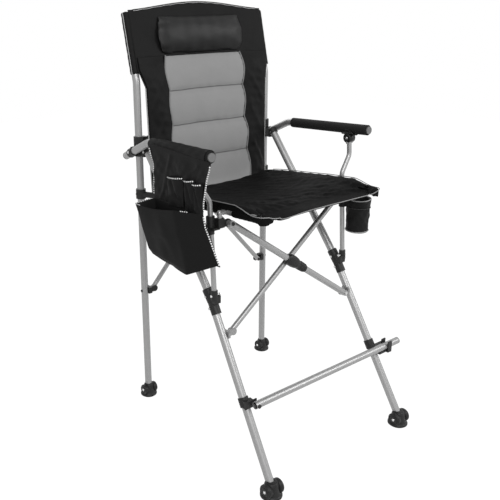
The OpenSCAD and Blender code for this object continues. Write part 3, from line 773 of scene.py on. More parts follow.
class CHAIR_OT_feet(bpy.types.Operator):
    """Makes the moulded feet: a domed socket on a flared pad, with a riveted ear on both sides"""

    bl_idname = "chair.feet"
    bl_label = "Feet"

    def execute(self, context):
        tones = context.scene.chair_frame
        rubber = moulded_finish("black rubber, feet", tones.plastic * 0.8, 0.4, 0.0003)
        steel = rivet_finish("rivet steel, feet")
        for end in ("rear", "front"):
            for side, name in SIDES:
                box = np.array(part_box(f"{end}_foot_{name}")) / MM
                middle = box.mean(0)
                middle[2] = 0
                wide = (box[1][0] - box[0][0]) / 2
                tall = box[1][2]
                skirt = [
                    (0.01, 0), (wide - 3, 0), (wide, 2.5), (wide, 6), (wide - 2.5, 9),
                    (wide - 5, 10.5), (wide - 5.5, 13), (wide - 7, 15), (wide - 8, 24), (wide - 9, 26),
                    (wide - 9.2, 29), (wide - 10, 31), (wide - 12, tall - 8), (wide - 15, tall - 2),
                    (wide - 17, tall), (0.01, tall),
                ]
                parts = [turned(f"{end}_foot_socket_{name}", skirt, middle, 64)]
                for way in (-1, 1):
                    hub = middle + np.array([way * (wide - 12), -3, 25.0])
                    parts.append(ear(f"ear{way}", hub, way, wide - 11))
                    pin = ear_pin(f"{end}_foot_pin_{name}_{'in' if way != side else 'out'}", hub, way)
                    paint(pin, steel)
                    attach(pin, f"{name}_frame")
                foot = join(f"{end}_foot_cover_{name}", parts)
                paint(foot, rubber)
                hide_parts(f"{end}_foot_{name}")
                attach(foot, f"{name}_frame")
        return {"FINISHED"}


def ear(name, centre, way, radius):
    """A round ear that faces sideways, with a groove and a raised ring round its pin."""
    rings = [
        (0.01, -6), (radius, -6), (radius, 6), (radius - 2, 8.5), (radius - 4.5, 8.5), (radius - 5.5, 7),
        (radius - 7.5, 7), (radius - 8.5, 9), (6.5, 9), (5.5, 7.5), (0.01, 7.5),
    ]
    return lying(name, rings, centre, way)


def ear_pin(name, centre, way):
    """A small domed rivet head in an ear."""
    dome = [(0.01, 7), (5, 7), (5, 9), (4.2, 10), (2.4, 10.9), (0.01, 11.2)]
    return lying(name, dome, centre, way)


def lying(name, profile, centre, way):
    """A turned piece laid on its side, with its height along x, to the left or right."""
    piece = turned(name, profile, np.zeros(3), 48)
    p = points_of(piece) / MM
    set_points(piece, (as_points(way * p[:, 2], p[:, 1], p[:, 0]) + centre) * MM)
    return point_out(piece)


class CHAIR_OT_arm_ear(bpy.types.Operator):
    """Makes the right arm's moulded ear: a saddle under the pad, with a riveted disc below"""

    bl_idname = "chair.arm_ear"
    bl_label = "Arm ear"

    def execute(self, context):
        # The saddle is a part of a tube's wall: a radius turned about the arm's axis to either side of
        # straight down, by its reach in the middle and less towards its ends
        tones = context.scene.chair_frame
        half_long = 26.5
        reach = math.radians(88)
        way_forward = 273 / 348
        along = unit(ARM_FRONT - ARM_BEND)
        middle = ARM_BEND + way_forward * (ARM_FRONT - ARM_BEND)
        side = unit(np.cross(along, np.array([0, 0, 1.0])))
        down = np.cross(along, side)
        down = down * (-1 if down[2] > 0 else 1)
        u, v = grid((-1, 1, 41), (-1, 1, 61))
        turn = v * reach * np.sqrt(1 - 0.93 * u * u)
        shells = []
        for radius in (21.4, 19.4):
            away = np.sin(turn)[..., None] * side + np.cos(turn)[..., None] * down
            shells.append(middle + half_long * u[..., None] * along + radius * away)
        disc = np.array([319.5, middle[1], 925.7])
        rings = [(0.01, -14), (14, -14), (16, -12), (16, 12), (14, 14), (0.01, 14)]
        parts = [slab("ear_saddle", shells[0], shells[1]), lying("ear_disc", rings, disc, 1)]
        cover = join("arm_ear_cover", parts)
        paint(cover, moulded_finish("black plastic, ear", tones.plastic * 0.8, 0.34))
        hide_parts("arm_ear_right")
        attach(cover, "right_frame")
        steel = rivet_finish("rivet steel, ear")
        for way, name in ((-1, "in"), (1, "out")):
            pin = ear_pin(f"arm_ear_pin_{name}", disc + np.array([way * 5.5, 0, 0]), way)
            paint(pin, steel)
            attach(pin, "right_frame")
        return {"FINISHED"}


class CHAIR_OT_hub(bpy.types.Operator):
    """Makes the front scissor's moulded saddle with its boot along the wide tube"""

    bl_idname = "chair.hub"
    bl_label = "Scissor saddle"

    def execute(self, context):
        tones = context.scene.chair_frame
        plastic = moulded_finish("black plastic, saddle", tones.plastic * 0.8, 0.36)
        # The wide tube goes by its span across and its rise down the leaning plane of the crossing, and the
        # saddle is at its middle. Half the saddle's breadth over the tube and out of that plane follow lines
        # along the tube, with ribs on the boot. Its section is a squared-off circle, flat at the rear
        span = 480.0
        rise = 339
        up = np.array([0, math.sin(POST_LEAN), math.cos(POST_LEAN)])
        out = np.array([0, -math.cos(POST_LEAN), math.sin(POST_LEAN)])
        centre = np.array([0, REAR_Y - 431, 413.0]) + rise / 2 * up + 11.1 * out
        along = unit(np.array([span, 0, 0]) - rise * up)
        over = np.cross(out, along)
        stations = np.array([-29, -28.5, -26, -20, -8, 6, 18, 23, 27, 38, 52, 62, 66.5, 67])
        tall = np.array([0.02, 10, 13, 16.5, 19, 19, 17.5, 15, 14, 14.5, 14, 13.4, 11.5, 0.02])
        deep = np.array([0.02, 11, 13.5, 15, 16, 16, 15.5, 14.5, 14, 13.5, 13, 12.6, 11.5, 0.02])
        t = np.linspace(stations[0], stations[-1], 120)[:, None]
        a = circle(64)
        rib = 0.7 * np.sin(t * 1.1) * ((t > 31) & (t < 62))
        w = (np.interp(t, stations, tall) + rib) * power(np.cos(a), 0.8)
        d = (np.interp(t, stations, deep) + rib) * power(np.sin(a), 0.8)
        d = np.maximum(d, -10.2)
        rings = centre + t[..., None] * along + w[..., None] * over + d[..., None] * out
        saddle = loft("scissor_saddle", rings)
        paint(saddle, plastic)
        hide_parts("front_x_hub")
        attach(saddle, "front_x_b")
        return {"FINISHED"}


class CHAIR_OT_back(bpy.types.Operator):
    """Makes the back sling with its sleeves over the posts, hems and piping"""

    bl_idname = "chair.back"
    bl_label = "Back sling"

    def execute(self, context):
        tones = context.scene.chair_cloth
        cloth = cloth_finish("black weave, upright", tones.black, tones.black * 0.6, (0, 2))
        u, v = grid((-1, 1, 97), (0, 1, 121))
        z = BACK_LOW + v * (back_top(u) - BACK_LOW)
        half = np.interp(z, *BACK_HALF)
        x = u * half
        soft = smooth((1 - np.abs(u)) * 6) * smooth(v * 8) * smooth((1 - v) * 10)
        bumps = 2.2 * ripple(x, z, 3, 130) + 0.8 * ripple(x, z, 5, 45)
        y = back_depth(u, z) - SLING_FRONT + soft * np.clip(bumps, -3.0, 1.6)
        middle = as_points(x, y, z)
        half_thick = np.array([0, 1.1, 0])
        sling = slab("back_sling", middle - half_thick, middle + half_thick, as_points(x, z))
        parts = [sling]
        for side, name in SIDES:
            path = self.sleeve_line(side)
            t = np.linspace(0, 1, 60)
            radius = 15.2 + 0.5 * np.sin(t * 40) * np.sin(t * 17 + side) + 0.9 * (1 - smooth(t * 20))
            sleeve = rounded_sweep(f"back_sleeve_{name}", path, radius, 7, 32)
            paint(sleeve, cloth)
            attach(sleeve, f"{name}_frame")
            parts.append(self.wing(side, tones.channels))
        sling = join("back_sling", parts)
        paint(sling, cloth)
        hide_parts("back_panel")
        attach(sling, "left_frame")
        self.trims(tones)
        self.gather(sling)
        return {"FINISHED"}

    def trims(self, tones):
        """Piping down the cloth's edges and along the sleeves, and the bound upper edge with its thread."""
        edge = trim_finish("light piping", tones.piping)
        dark = trim_finish("black binding", tones.black * 1.3)
        for side, name in SIDES:
            zz = np.linspace(BACK_LOW, 1098, 60)
            xx = side * np.interp(zz, *BACK_HALF)
            yy = back_depth(np.ones(60), zz) - SLING_FRONT
            cord = sweep(f"back_piping_{name}", as_points(xx, yy, zz), 1.9, 10)
            paint(cord, edge)
            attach(cord, "left_frame")
            self.gather(cord)
        for side, name in SIDES:
            path = self.sleeve_line(side) + np.array([side * 0.93, -0.36, 0]) * 15.9
            cord = sweep(f"sleeve_piping_{name}", path[1:-1], 1.3, 10)
            paint(cord, edge)
            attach(cord, f"{name}_frame")
        uu = np.linspace(-0.93, 0.93, 70)
        zz = back_top(uu)
        hem = as_points(uu * POST_X, back_depth(uu, zz) - SLING_FRONT, zz - 1.5)
        thread = as_points(uu * POST_X, back_depth(uu, zz) - 3.6, zz - 3.2 + 0.8 * np.sin(uu * 37))
        for name, path, size, tint in (
            ("back_top_binding", hem, 2.6, dark), ("back_top_thread", thread, 0.9, edge),
        ):
            cord = sweep(name, path, size, 10, up=(0, 1, 0))
            paint(cord, tint)
            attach(cord, "left_frame")
            self.gather(cord)

    @staticmethod
    def sleeve_line(side):
        """The axis of a post where the sling's sleeve covers it."""
        up = np.linspace(22, 221, 60)[:, None]
        return (POST_BEND + up * POST_UP) * np.array([side, 1, 1])

    @staticmethod
    def wing(side, rows):
        """The padded border beside the gray panel.

        It stands off the sling by the panel's edge times the square of the way to it, plus a belly,
        a sine across to the power 0.8, on which slack ripples and slanting folds lie.
        """
        u, v = grid((0, 1, 33), (0, 1, 140))
        z = QUILT_LOW + v * (QUILT_TOP - QUILT_LOW)
        inner, edge_rise = border_line(z, rows)
        x = inner + 1.5 + u * (np.interp(z, *BACK_HALF) - 7 - inner)
        y = back_depth(x / BACK_REACH, z) - 3.0
        ends = smooth(v * 14) * smooth((1 - v) * 14)
        slack = 2.6 * ripple(side * x, z * 0.6, 7, 80) + 1.2 * ripple(side * x, z, 8, 34)
        for low, high, depth in ((790, 900, 4.0), (905, 1010, 3.2), (1030, 1130, 3.4), (1120, 1190, 2.6)):
            slack = slack + fold(x, z, (178, high), (236, low), 9, depth)
        belly = (8.0 + slack) * np.sin(math.pi * u) ** 0.8
        rise = 0.8 + ends * ((1 - u) ** 2 * edge_rise + belly)
        front = as_points(side * x, y - rise, z)
        rear = as_points(side * x, y + 0.6, z)
        return slab(f"wing{side}", front, rear, as_points(side * x, z))

    @staticmethod
    def gather(piece):
        """Gives the back's cloth a mesh of its own."""
        fold_cloth(piece)


def fold_cloth(piece):
    """Gives the piece a mesh of its own; nothing gathers or folds here."""
    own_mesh(piece)


class CHAIR_OT_cushion(bpy.types.Operator):
    """Makes the quilted back cushion: swollen channels between sewn seams"""

    bl_idname = "chair.cushion"
    bl_label = "Quilted cushion"

    def execute(self, context):
        # The front stands off by the border's rise plus a swell between the seams, which falls with the
        # fifth power of the way across, and it puckers beside each seam
        tones = context.scene.chair_cloth
        rows = tones.channels
        low, top = QUILT_LOW, QUILT_TOP
        cloth = quilt_finish("gray weave", tones.panel, low, (top - low) / rows)
        u, v = grid((-1, 1, 61), (0, 1, 121))
        z = low + v * (top - low)
        swell = channel_swell(z, rows)
        half, edge_rise = border_line(z, rows)
        x = u * half
        y = back_depth(x / BACK_REACH, z) - QUILT_GAP
        front = as_points(x, y - edge_rise - 4.5 * swell**0.7 * (1 - np.abs(u) ** 5), z)
        rear = as_points(x, y + 0.8, z)
        pad = slab("back_cushion_pad", front, rear)

        def hold(p):
            seam = np.abs(((p[:, 2] - low) / (top - low) * rows + 0.5) % 1 - 0.5)
            back = p[:, 1] > back_depth(p[:, 0] / BACK_REACH, p[:, 2]) - 4.8
            return np.clip(1.2 - seam * 14, 0, 1) + back

        puff(pad, 7, hold, 3.0)
        p = points_of(pad) / MM
        seam = (p[:, 2] - low) / (top - low) * rows
        near = np.abs((seam + 0.5) % 1 - 0.5) / rows * (top - low)
        inner = (p[:, 2] > low + 20) & (p[:, 2] < top - 20)
        front_side = p[:, 1] < back_depth(p[:, 0] / BACK_REACH, p[:, 2]) - 6
        pucker = np.sin(p[:, 0] / 9 + 2 * np.sin(p[:, 0] / 31 + np.round(seam) * 2.1))
        p[:, 1] += np.where(inner & front_side, 1.6 * np.exp(-((near / 3.2) ** 2)), 0)
        p[:, 1] += np.where(front_side, 0.8 * pucker * np.exp(-((near / 14) ** 2)), 0)
        set_points(pad, p * MM)
        soften(pad)
        paint(pad, cloth)
        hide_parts("back_cushion")
        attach(pad, "left_frame")
        fold_cloth(pad)
        edge = trim_finish("gray seam tape", tones.panel * 0.75)
        t = np.linspace(0, 1, 80)
        for side, name in SIDES:
            zz = low + t * (top - low)
            half, edge_rise = border_line(zz, rows)
            xx = side * half
            yy = back_depth(xx / BACK_REACH, zz) - QUILT_GAP - edge_rise
            cord = sweep(f"cushion_edge_{name}", as_points(xx, yy, zz), 2.2, 10)
            paint(cord, edge)
            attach(cord, "left_frame")
            fold_cloth(cord)
        return {"FINISHED"}


class CHAIR_OT_pillow(bpy.types.Operator):
    """Makes the head pillow: a swollen roll with gathered ends"""

    bl_idname = "chair.pillow"
    bl_label = "Head pillow"

    def execute(self, context):
        tones = context.scene.chair_cloth
        cloth = cloth_finish("black weave, pillow", tones.black * 1.3, tones.black, (0, 2), 0.22, 0.38)
        # The front is half a roll: a sine up its height to the power 0.75, lower towards its ends
        u, v = grid((-1, 1, 81), (0, 1, 49))
        z = 1199 + v * 120
        x = u * (177 - 9 * np.cos(math.pi * v) ** 2)
        y = back_depth(x / BACK_REACH, z) - 5.0
        rise = (1 - 0.75 * np.abs(u) ** 6) * np.clip(np.sin(math.pi * v), 0, 1) ** 0.75
        front = as_points(x, y - 1.5 - 25 * rise, z)
        rear = as_points(x, y, z)
        pad = slab("head_pillow_roll", front, rear)

        def hold(p):
            return (p[:, 1] > back_depth(p[:, 0] / BACK_REACH, p[:, 2]) - 7).astype(float)

        puff(pad, 8, hold, 4.0)
        p = points_of(pad) / MM
        ends = smooth((np.abs(p[:, 0]) - 110) / 60)
        pleat = np.sin(p[:, 2] / 5.5 + 1.5 * np.sin(p[:, 2] / 19)) * ends
        pleat = pleat + 0.8 * ripple(p[:, 0], p[:, 2], 17, 60)
        p[:, 1] += np.where(hold(p) > 0, 0, 1.3 * pleat)
        set_points(pad, p * MM)
        soften(pad)
        paint(pad, cloth)
        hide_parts("head_pillow")
        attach(pad, "left_frame")
        fold_cloth(pad)
        return {"FINISHED"}


# Half the seat's width, the depth of its rear edge and its length
SEAT_HALF = 253
SEAT_REAR = REAR_Y - 66
SEAT_LONG = 496
# Distance from the middle past which the pad's edge is held still
SEAT_HELD = 246
# Along the seat as shares from rear to front: the height of the side rolls over the rails' axes, the depth
# of the sag between them, and how far the outer edges droop
SEAT_ROLL = ([0, 0.31, 0.55, 0.76, 0.82, 0.9, 1], [20, 24, 29, 30, 27, 20, 17])
SEAT_SAG = ([0, 0.5, 0.9, 1], [13, 24, 26, 29])
SEAT_DROOP = ([0, 0.78, 0.86, 0.92, 1], [0, 0, 6, 9, 8])


def seat_plan(u, v):
    """Plan of the seat: u across from -1 to 1, v from rear to front, with quarter circles at the corners."""
    t = np.clip((v - 0.945) / 0.055, 0, 1)
    front = 0.09 * (1 - np.sqrt(1 - t * t))
    draw = 1 - np.where(v < 0.5, 0.12 * (1 - 2 * np.minimum(v, 0.5)) ** 8, front)
    return u * SEAT_HALF * draw, SEAT_REAR - v * SEAT_LONG


def seat_top(u, v):
    """Height of the seat's cloth.

    The rail's height plus the roll, less the sag times (1 - u squared) to the power 1.3, which gives way
    near the front to a lip that is low between the rails, less the droop of the outer edges.
    """
    y = SEAT_REAR - v * SEAT_LONG
    out = np.abs(u)
    near = smooth((v - 0.72) / 0.28)
    sag = np.interp(v, *SEAT_SAG) * (1 - u * u) ** 1.3
    lip = 17 * (1 - smooth((out - 0.76) / 0.16)) + 6 * np.exp(-(((u + 0.72) / 0.28) ** 2)) * (out < 0.99)
    droop = np.interp(v, *SEAT_DROOP) * smooth((out - 0.93) / 0.07)
    return rail_height(y) + np.interp(v, *SEAT_ROLL) - sag * (1 - near) - lip * near - droop


def seat_under(u, v, top):
    """Height of the pad's underside.

    It is clear over the rails, hangs between them by the root of (1 - a steep power of the way across),
    follows the top at the front edge, and drops as a nose in front of the rails' ends.
    """
    out = np.abs(u)
    rail = rail_height(SEAT_REAR - v * SEAT_LONG)
    hang = rail + 11.6 - (24 + 7 * v**4) * np.sqrt(np.clip(1 - (out / 0.82) ** 8, 0, 1))
    near = smooth((v - 0.8) / 0.2) * (1 - smooth((out - 0.74) / 0.08))
    hang = hang + near * (top - 7.5 - hang)
    hang = hang - 6.5 * smooth((out - 0.95) / 0.05)
    nose = 24.5 * smooth((v - 0.94) / 0.015) * smooth((out - 0.84) / 0.05)
    return np.minimum(hang, top - 4) - nose


class CHAIR_OT_seat(bpy.types.Operator):
    """Makes the padded seat sling with its piping, creases and the tunnels round the rails"""

    bl_idname = "chair.seat"
    bl_label = "Seat"

    def execute(self, context):
        tones = context.scene.chair_cloth
        cloth = cloth_finish("black weave, level", tones.black, tones.black * 0.6, (0, 1), 0.03)
        u, v = grid((-1, 1, 101), (0, 1, 101))
        x, y = seat_plan(u * 0.99, v)
        top = seat_top(u, v)
        under = seat_under(u, v, top)
        upper = as_points(x, y, np.maximum(top - 2.0, under + 2))
        lower = as_points(x, y, under)
        pad = slab("seat_sling", upper, lower)

        def hold(p):
            low = rail_height(p[:, 1]) + 13
            return (p[:, 2] < low).astype(float) + (np.abs(p[:, 0]) > SEAT_HELD)

        puff(pad, 6, hold, 3.0)
        p = points_of(pad) / MM
        inner = smooth((SEAT_HELD - np.abs(p[:, 0])) / 50) * (p[:, 2] > rail_height(p[:, 1]) + 1)
        inner = inner * smooth((p[:, 1] - (REAR_Y - 556)) / 40)
        p[:, 2] += inner * self.creases(p[:, 0], p[:, 1] - REAR_Y)
        set_points(pad, p * MM)
        soften(pad)
        paint(pad, cloth)
        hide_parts("seat_pad")
        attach(pad, "rail_left")
        fold_cloth(pad)
        for side, name in SIDES:
            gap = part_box(f"rail_carrier_{name}")
            near = (SEAT_REAR - gap[1][1] / MM - 3) / SEAT_LONG
            far = (SEAT_REAR - gap[0][1] / MM + 3) / SEAT_LONG
            for part, (start, stop) in enumerate(((0.03, near), (far, 0.955))):
                cover = self.tunnel(f"seat_tunnel_{name}_{part}", side, start, stop)
                paint(cover, cloth)
                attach(cover, f"rail_{name}")
            cap = self.corner(f"seat_corner_{name}", side)
            paint(cap, cloth)
            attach(cap, f"rail_{name}")
        edge = trim_finish("light piping, seat", tones.piping * 0.6)
        cord = sweep("seat_piping", self.rim(), 1.3, 10)
        paint(cord, edge)
        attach(cord, "rail_left")
        fold_cloth(cord)
        return {"FINISHED"}

    @staticmethod
    def rim():
        """The piping's line: forwards along one side, across the front and back along the other.

        It follows the seat's top. At the front it is no higher than the rail plus 9 times the square of the
        way into the corner, and it stands off the edge by more at the corners.
        """
        t = np.linspace(0, 1, 90)
        runs = []
        for (u0, v0), (u1, v1) in (((-1, 0.02), (-1, 1)), ((-1, 1), (1, 1)), ((1, 1), (1, 0.02))):
            u, v = u0 + t * (u1 - u0), v0 + t * (v1 - v0)
            x, y = seat_plan(u, v)
            top = seat_top(u, v)
            at_front = v >= 1
            corner = np.clip((np.abs(u) - 0.82) / 0.18, 0, 1)
            low = rail_height(y) + 9 * corner**2
            z = np.where(at_front, np.minimum(top, low), top) - 1.5
            runs.append(as_points(x, y - (1.0 + 1.6 * corner) * at_front, z)[:-1])
        return np.concatenate(runs)

    @staticmethod
    def corner(name, side):
        """The seat's front corner: a rounded pocket over the rail's end, a ball squared off by powers."""
        b, a = np.meshgrid(np.linspace(-0.5, 0.5, 33) * math.pi, circle(48), indexing="ij")
        girth = np.clip(np.cos(b), 0.003, 1) ** 0.6
        y = REAR_Y - 536 + 15 * power(np.sin(b), 0.8)
        x = side * (240.5 - 4 * smooth((REAR_Y - 546 - y) / 14) + 12.2 * girth * np.cos(a))
        z = rail_height(y) - 1.2 + 12.4 * girth * np.sin(a) + 0.4 * np.sin(y / 2.5) * girth
        return loft(name, as_points(x, y, z))

    @staticmethod
    def creases(x, y):
        """Soft unevenness, with creases that fan from the front corners and cross the middle."""
        front = smooth((-y - 330) / 160)
        soft = 1.8 * ripple(x, y, 11, 120) + (0.8 + 1.2 * front) * ripple(x, y * 1.4, 12, 46)
        soft = soft + 0.7 * front * ripple(x, y, 14, 21)
        for start, end, width, depth in (
            ((190, -500), (90, -470), 7, 3.0),
            ((150, -540), (40, -505), 6, 2.6),
            ((-60, -545), (-150, -500), 7, 2.8),
            ((-110, -470), (-190, -430), 8, 2.6),
            ((60, -420), (-60, -400), 10, 2.2),
            ((0, -540), (60, -520), 5, 2.0),
            ((170, -300), (60, -330), 9, 1.8),
            ((-170, -200), (-60, -240), 10, 1.8),
        ):
            soft = soft + fold(x, y, start, end, width, depth)
        return soft

    @staticmethod
    def tunnel(name, side, start, stop):
        """Cloth round the rail: over half a circle, with crimps, a sine along times a sine round."""
        t, turn = grid((start, stop, 40), (-0.28, 1.28, 30))
        a = turn * math.pi
        y = SEAT_REAR - t * SEAT_LONG
        shells = []
        for thick, radius in ((0, 12.9), (1, 11.4)):
            crimp = 0.35 * np.sin(t * 160) * np.sin(a * 2) * (1 - thick)
            x = RAIL_FRONT[0] + np.cos(a) * (radius + crimp)
            z = rail_height(y) - np.sin(a) * (radius + crimp)
            shells.append(as_points(side * x, y, z))
        return slab(name, shells[0], shells[1])


BAG_X = -(POST_X + 61)
# Edges of the bag's sheet: heights against depths
BAG_REAR = ([640, 778, 842, 896, 914, 940, 957], [-178, -155, -157, -158, -144, -132, -128])
BAG_FRONT = (
    [668, 697, 733, 765, 799, 833, 868, 902, 935, 957],
    [-498, -476, -451, -428, -417, -420, -428, -436, -449, -451],
)
# Corners of the box pocket's mouth and foot: rear inner, rear outer, front outer, front inner
BOX_MOUTH = [(-335, -165, 789), (-392, -139, 774), (-379, -322, 794), (-341, -417, 798)]
BOX_FOOT = [(-337, -178, 646), (-390, -212, 637), (-394, -411, 625), (-342, -496, 668)]
# Rear and front ends of each slot pocket, the height of its mouth and the mouth's rise to the front
SLOTS = ((-239, -325, 870, 13), (-327, -385, 877, 11), (-371, -421, 876, 9))


def bag_edge(outline, z):
    """Depth of an edge of the bag's sheet at a height."""
    return REAR_Y + np.interp(z, *outline)


def bag_plane(y):
    """The bag's sheet runs beside the arm, splayed outwards to the front."""
    return BAG_X - (REAR_Y - 294 - y) * math.tan(math.radians(2.5))


class CHAIR_OT_bag(bpy.types.Operator):
    """Makes the side bag: sleeve, sheet, slot pockets, box pocket and piping"""

    bl_idname = "chair.bag"
    bl_label = "Side bag"

    def execute(self, context):
        tones = context.scene.chair_cloth
        cloth = cloth_finish("black weave, bag", tones.black, tones.black * 0.6, (1, 2))
        edge = dotted_finish("dotted piping", tones.piping * 1.9, tones.black)
        parts = [self.sleeve(), self.sheet_piece()]
        parts += [self.slot_pocket(i) for i in range(len(SLOTS))]
        parts.append(self.box_pocket())
        bag = join("side_bag_cloth", parts)
        paint(bag, cloth)
        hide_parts("side_bag")
        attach(bag, "left_frame")
        for name, path, size in self.edges():
            cord = piping(name, resample(path, 120), size)
            paint(cord, edge)
            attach(cord, "left_frame")
        return {"FINISHED"}

    @staticmethod
    def sleeve():
        """Cloth wrapped round the pad: a tube about the arm's axis, with creases and fuller ends."""
        along = unit(ARM_FRONT - ARM_BEND)
        start = (ARM_BEND + 62 * along) * np.array([-1, 1, 1])
        stop = (ARM_FRONT - 8 * along) * np.array([-1, 1, 1])
        t, a = grid((0, 1, 90), (0, ROUND, 49))
        middle = start + t[..., None] * (stop - start)
        crease = 0.7 * np.sin(t * 31 + 2 * np.cos(a)) * np.sin(3 * a + t * 9)
        shells = []
        for base in (17.5, 19.3):
            radius = base + (crease if base > 18 else 0) + 0.9 * np.exp(-((t * (1 - t)) / 0.008) ** 2)
            ring = as_points(np.cos(a) * radius, 0 * a, np.sin(a) * radius)
            shells.append(middle + ring)
        return slab("bag_sleeve", shells[1], shells[0])

    @staticmethod
    def sheet_piece():
        """The hanging sheet between its two edge lines, with ripples and two slanting folds."""
        u, v = grid((0, 1, 91), (0, 1, 121))
        z = 953 - v * (953 - 646 - 22 * u)
        y = bag_edge(BAG_REAR, z)
        y = y + u * (bag_edge(BAG_FRONT, z) - y)
        slack = (2.6 * ripple(y, z * 0.5, 21, 90) + 1.3 * ripple(y, z, 22, 34)) * smooth(v * 5)
        slack = slack + fold(y, z, (REAR_Y - 250, 930), (REAR_Y - 200, 800), 9, 3.0)
        slack = slack + fold(y, z, (REAR_Y - 390, 930), (REAR_Y - 330, 880), 8, 2.5)
        x = bag_plane(y) - np.clip(slack, -1.5, 4) - 1.5 * smooth(v * 4)
        outer = as_points(x - 1.6, y, z)
        inner = as_points(x + 1.2, y, z)
        return slab("bag_sheet", outer, inner)

    @staticmethod
    def slot_pocket(i):
        """A flat pocket whose mouth bows out by a sine across and whose cloth falls in a deep fold."""
        rear, front, top, rise = SLOTS[i]
        u, v = grid((0, 1, 33), (0, 1, 41))
        z = top + rise * u - v * (top - 782)
        y = REAR_Y + rear + u * (front - rear) - 6 * v * (1 - u)
        bow = np.sin(math.pi * u) * (1 - v) ** 0.8
        pleat = 9.0 * np.exp(-(((u - 0.2 - 0.5 * v) / 0.14) ** 2)) * (1 - v) ** 0.6 * smooth(v * 9)
        x = bag_plane(y) - 5.0 - 11 * bow + pleat - 1.0 * ripple(y, z, 30 + i, 40)
        outer = as_points(x - 1.2, y, z)
        inner = as_points(x + 0.4, y, z)
        return slab(f"slot_{i}", outer, inner)

    @staticmethod
    def box_pocket():
        """A boxy pocket lofted from its mouth to a sagging foot, open at the top, with a lining."""
        outer = box_rings(0.0)
        inner = box_rings(2.0)
        rings, sides = outer.shape[:2]
        points = np.concatenate([outer.reshape(-1, 3), inner.reshape(-1, 3)])
        count = rings * sides
        walls = grid_faces(rings, sides, wrap_cols=True)
        liner = grid_faces(rings, sides, wrap_cols=True, first=count)[:, ::-1]
        k = np.arange(sides)
        nxt = (k + 1) % sides
        rim = as_points(k, nxt, nxt + count, k + count)
        last = (rings - 1) * sides
        faces = walls.tolist() + liner.tolist() + rim.tolist()
        faces += [(last + k).tolist(), (count + last + k)[::-1].tolist()]
        return point_out(add_mesh("bag_box", points, faces))

    @staticmethod
    def edges():
        """Piping down both edges of the sheet, along the slots and round the box pocket's mouth."""
        z = np.linspace(940, 800, 50)
        y = bag_edge(BAG_REAR, z)
        yield "bag_edge_rear", as_points(bag_plane(y) - 3.5, y, z), 1.8
        z = np.linspace(945, 670, 90)
        y = bag_edge(BAG_FRONT, z)
        yield "bag_edge_front", as_points(bag_plane(y) - 3.5, y - 1, z), 2.1
        for i, (rear, front, top, rise) in enumerate(SLOTS):
            u = np.linspace(0.04, 0.96, 24)
            y = REAR_Y + rear + u * (front - rear)
            x = bag_plane(y) - 7.0 - 11 * np.sin(math.pi * u)
            yield f"slot_edge_{i}", as_points(x, y, top + rise * u), 1.9
        mouth = box_rings(0.0)[0]
        sides = len(mouth)
        lift = np.array([0, 0, 1.0])
        yield "box_edge_rear", mouth[int(sides * 0.05):int(sides * 0.3)] + lift, 1.3
        yield "box_edge_front", mouth[int(sides * 0.56):int(sides * 0.64)] + lift, 1.3


def box_rings(inset):
    """Rings of the box pocket, from the mouth down to the foot, drawn in by an inset.

    The corners go in straight lines from mouth to foot. Each wall swells by a sine across times a sine
    down, is drawn in and lifted at its foot, and ripples, and two creases lie on the outer and front wall.
    """
    sides, rows = 128, 56
    share = np.linspace(0, 4, sides, endpoint=False)
    wall = share.astype(int)
    along = (share - wall)[:, None]
    t = np.linspace(0, 1, rows)[:, None]
    ends = np.array([BOX_MOUTH, BOX_FOOT], float) + np.array([0, REAR_Y, 0])
    corners = ends[0] * (1 - t[..., None]) + ends[1] * t[..., None]
    ring = corners[:, wall] * (1 - along) + corners[:, (wall + 1) % 4] * along
    ring = (np.roll(ring, 1, 1) + 2 * ring + np.roll(ring, -1, 1)) / 4
    away = (ring - corners.mean(1, keepdims=True)) * np.array([1, 1, 0])
    flat = away / np.linalg.norm(away, axis=2, keepdims=True)
    outer, front, inner = wall == 1, wall == 2, wall == 3
    belly = np.clip(np.sin(math.pi * t), 0, 1) ** 0.8
    arch = np.sin(math.pi * along[:, 0])
    swell = 4.0 * belly * arch * np.where(inner, 0.1, 1)
    draw = 9.0 * smooth((t - 0.9) / 0.1) * np.where(inner, 0.1, 1)
    ring = ring + flat * (swell - draw - inset)[..., None]
    ring[..., 2] += inset * t - (4.0 * smooth((t - 0.75) / 0.25) + 6.0 * (1 - t) ** 3) * arch * outer
    x, y, z = np.moveaxis(ring, 2, 0)
    wave = 2.6 * ripple(y, z + x, 41, 70) * belly * ~inner
    wave = wave + outer * fold(y - REAR_Y, z, (-215, 690), (-385, 745), 8, 3.0)
    wave = wave + front * fold(y - REAR_Y, z, (-385, 745), (-470, 690), 8, 2.5)
    return ring + flat * np.clip(wave, -2.0, 2.5)[..., None]


# Middle of the cup's foot, its height, and the height of its band's lower edge
CUP = np.array([POST_X + 61, REAR_Y - 402, 606.0])
CUP_H = 118
CUP_BAND = CUP_H - 30


def turned(name, profile, centre, turns=72, wave=None):
    """A surface of revolution: a closed profile of radius and height carried round an upright line."""
    a = circle(turns)[:, None]
    r, z = (column + 0 * a for column in np.array(profile, float).T)
    if wave is not None:
        r = r + wave(a, z)
    points = centre + as_points(r * np.cos(a), r * np.sin(a), z)
    faces = grid_faces(turns, len(profile), wrap_rows=True, wrap_cols=True)
    return point_out(add_mesh(name, points.reshape(-1, 3), faces))


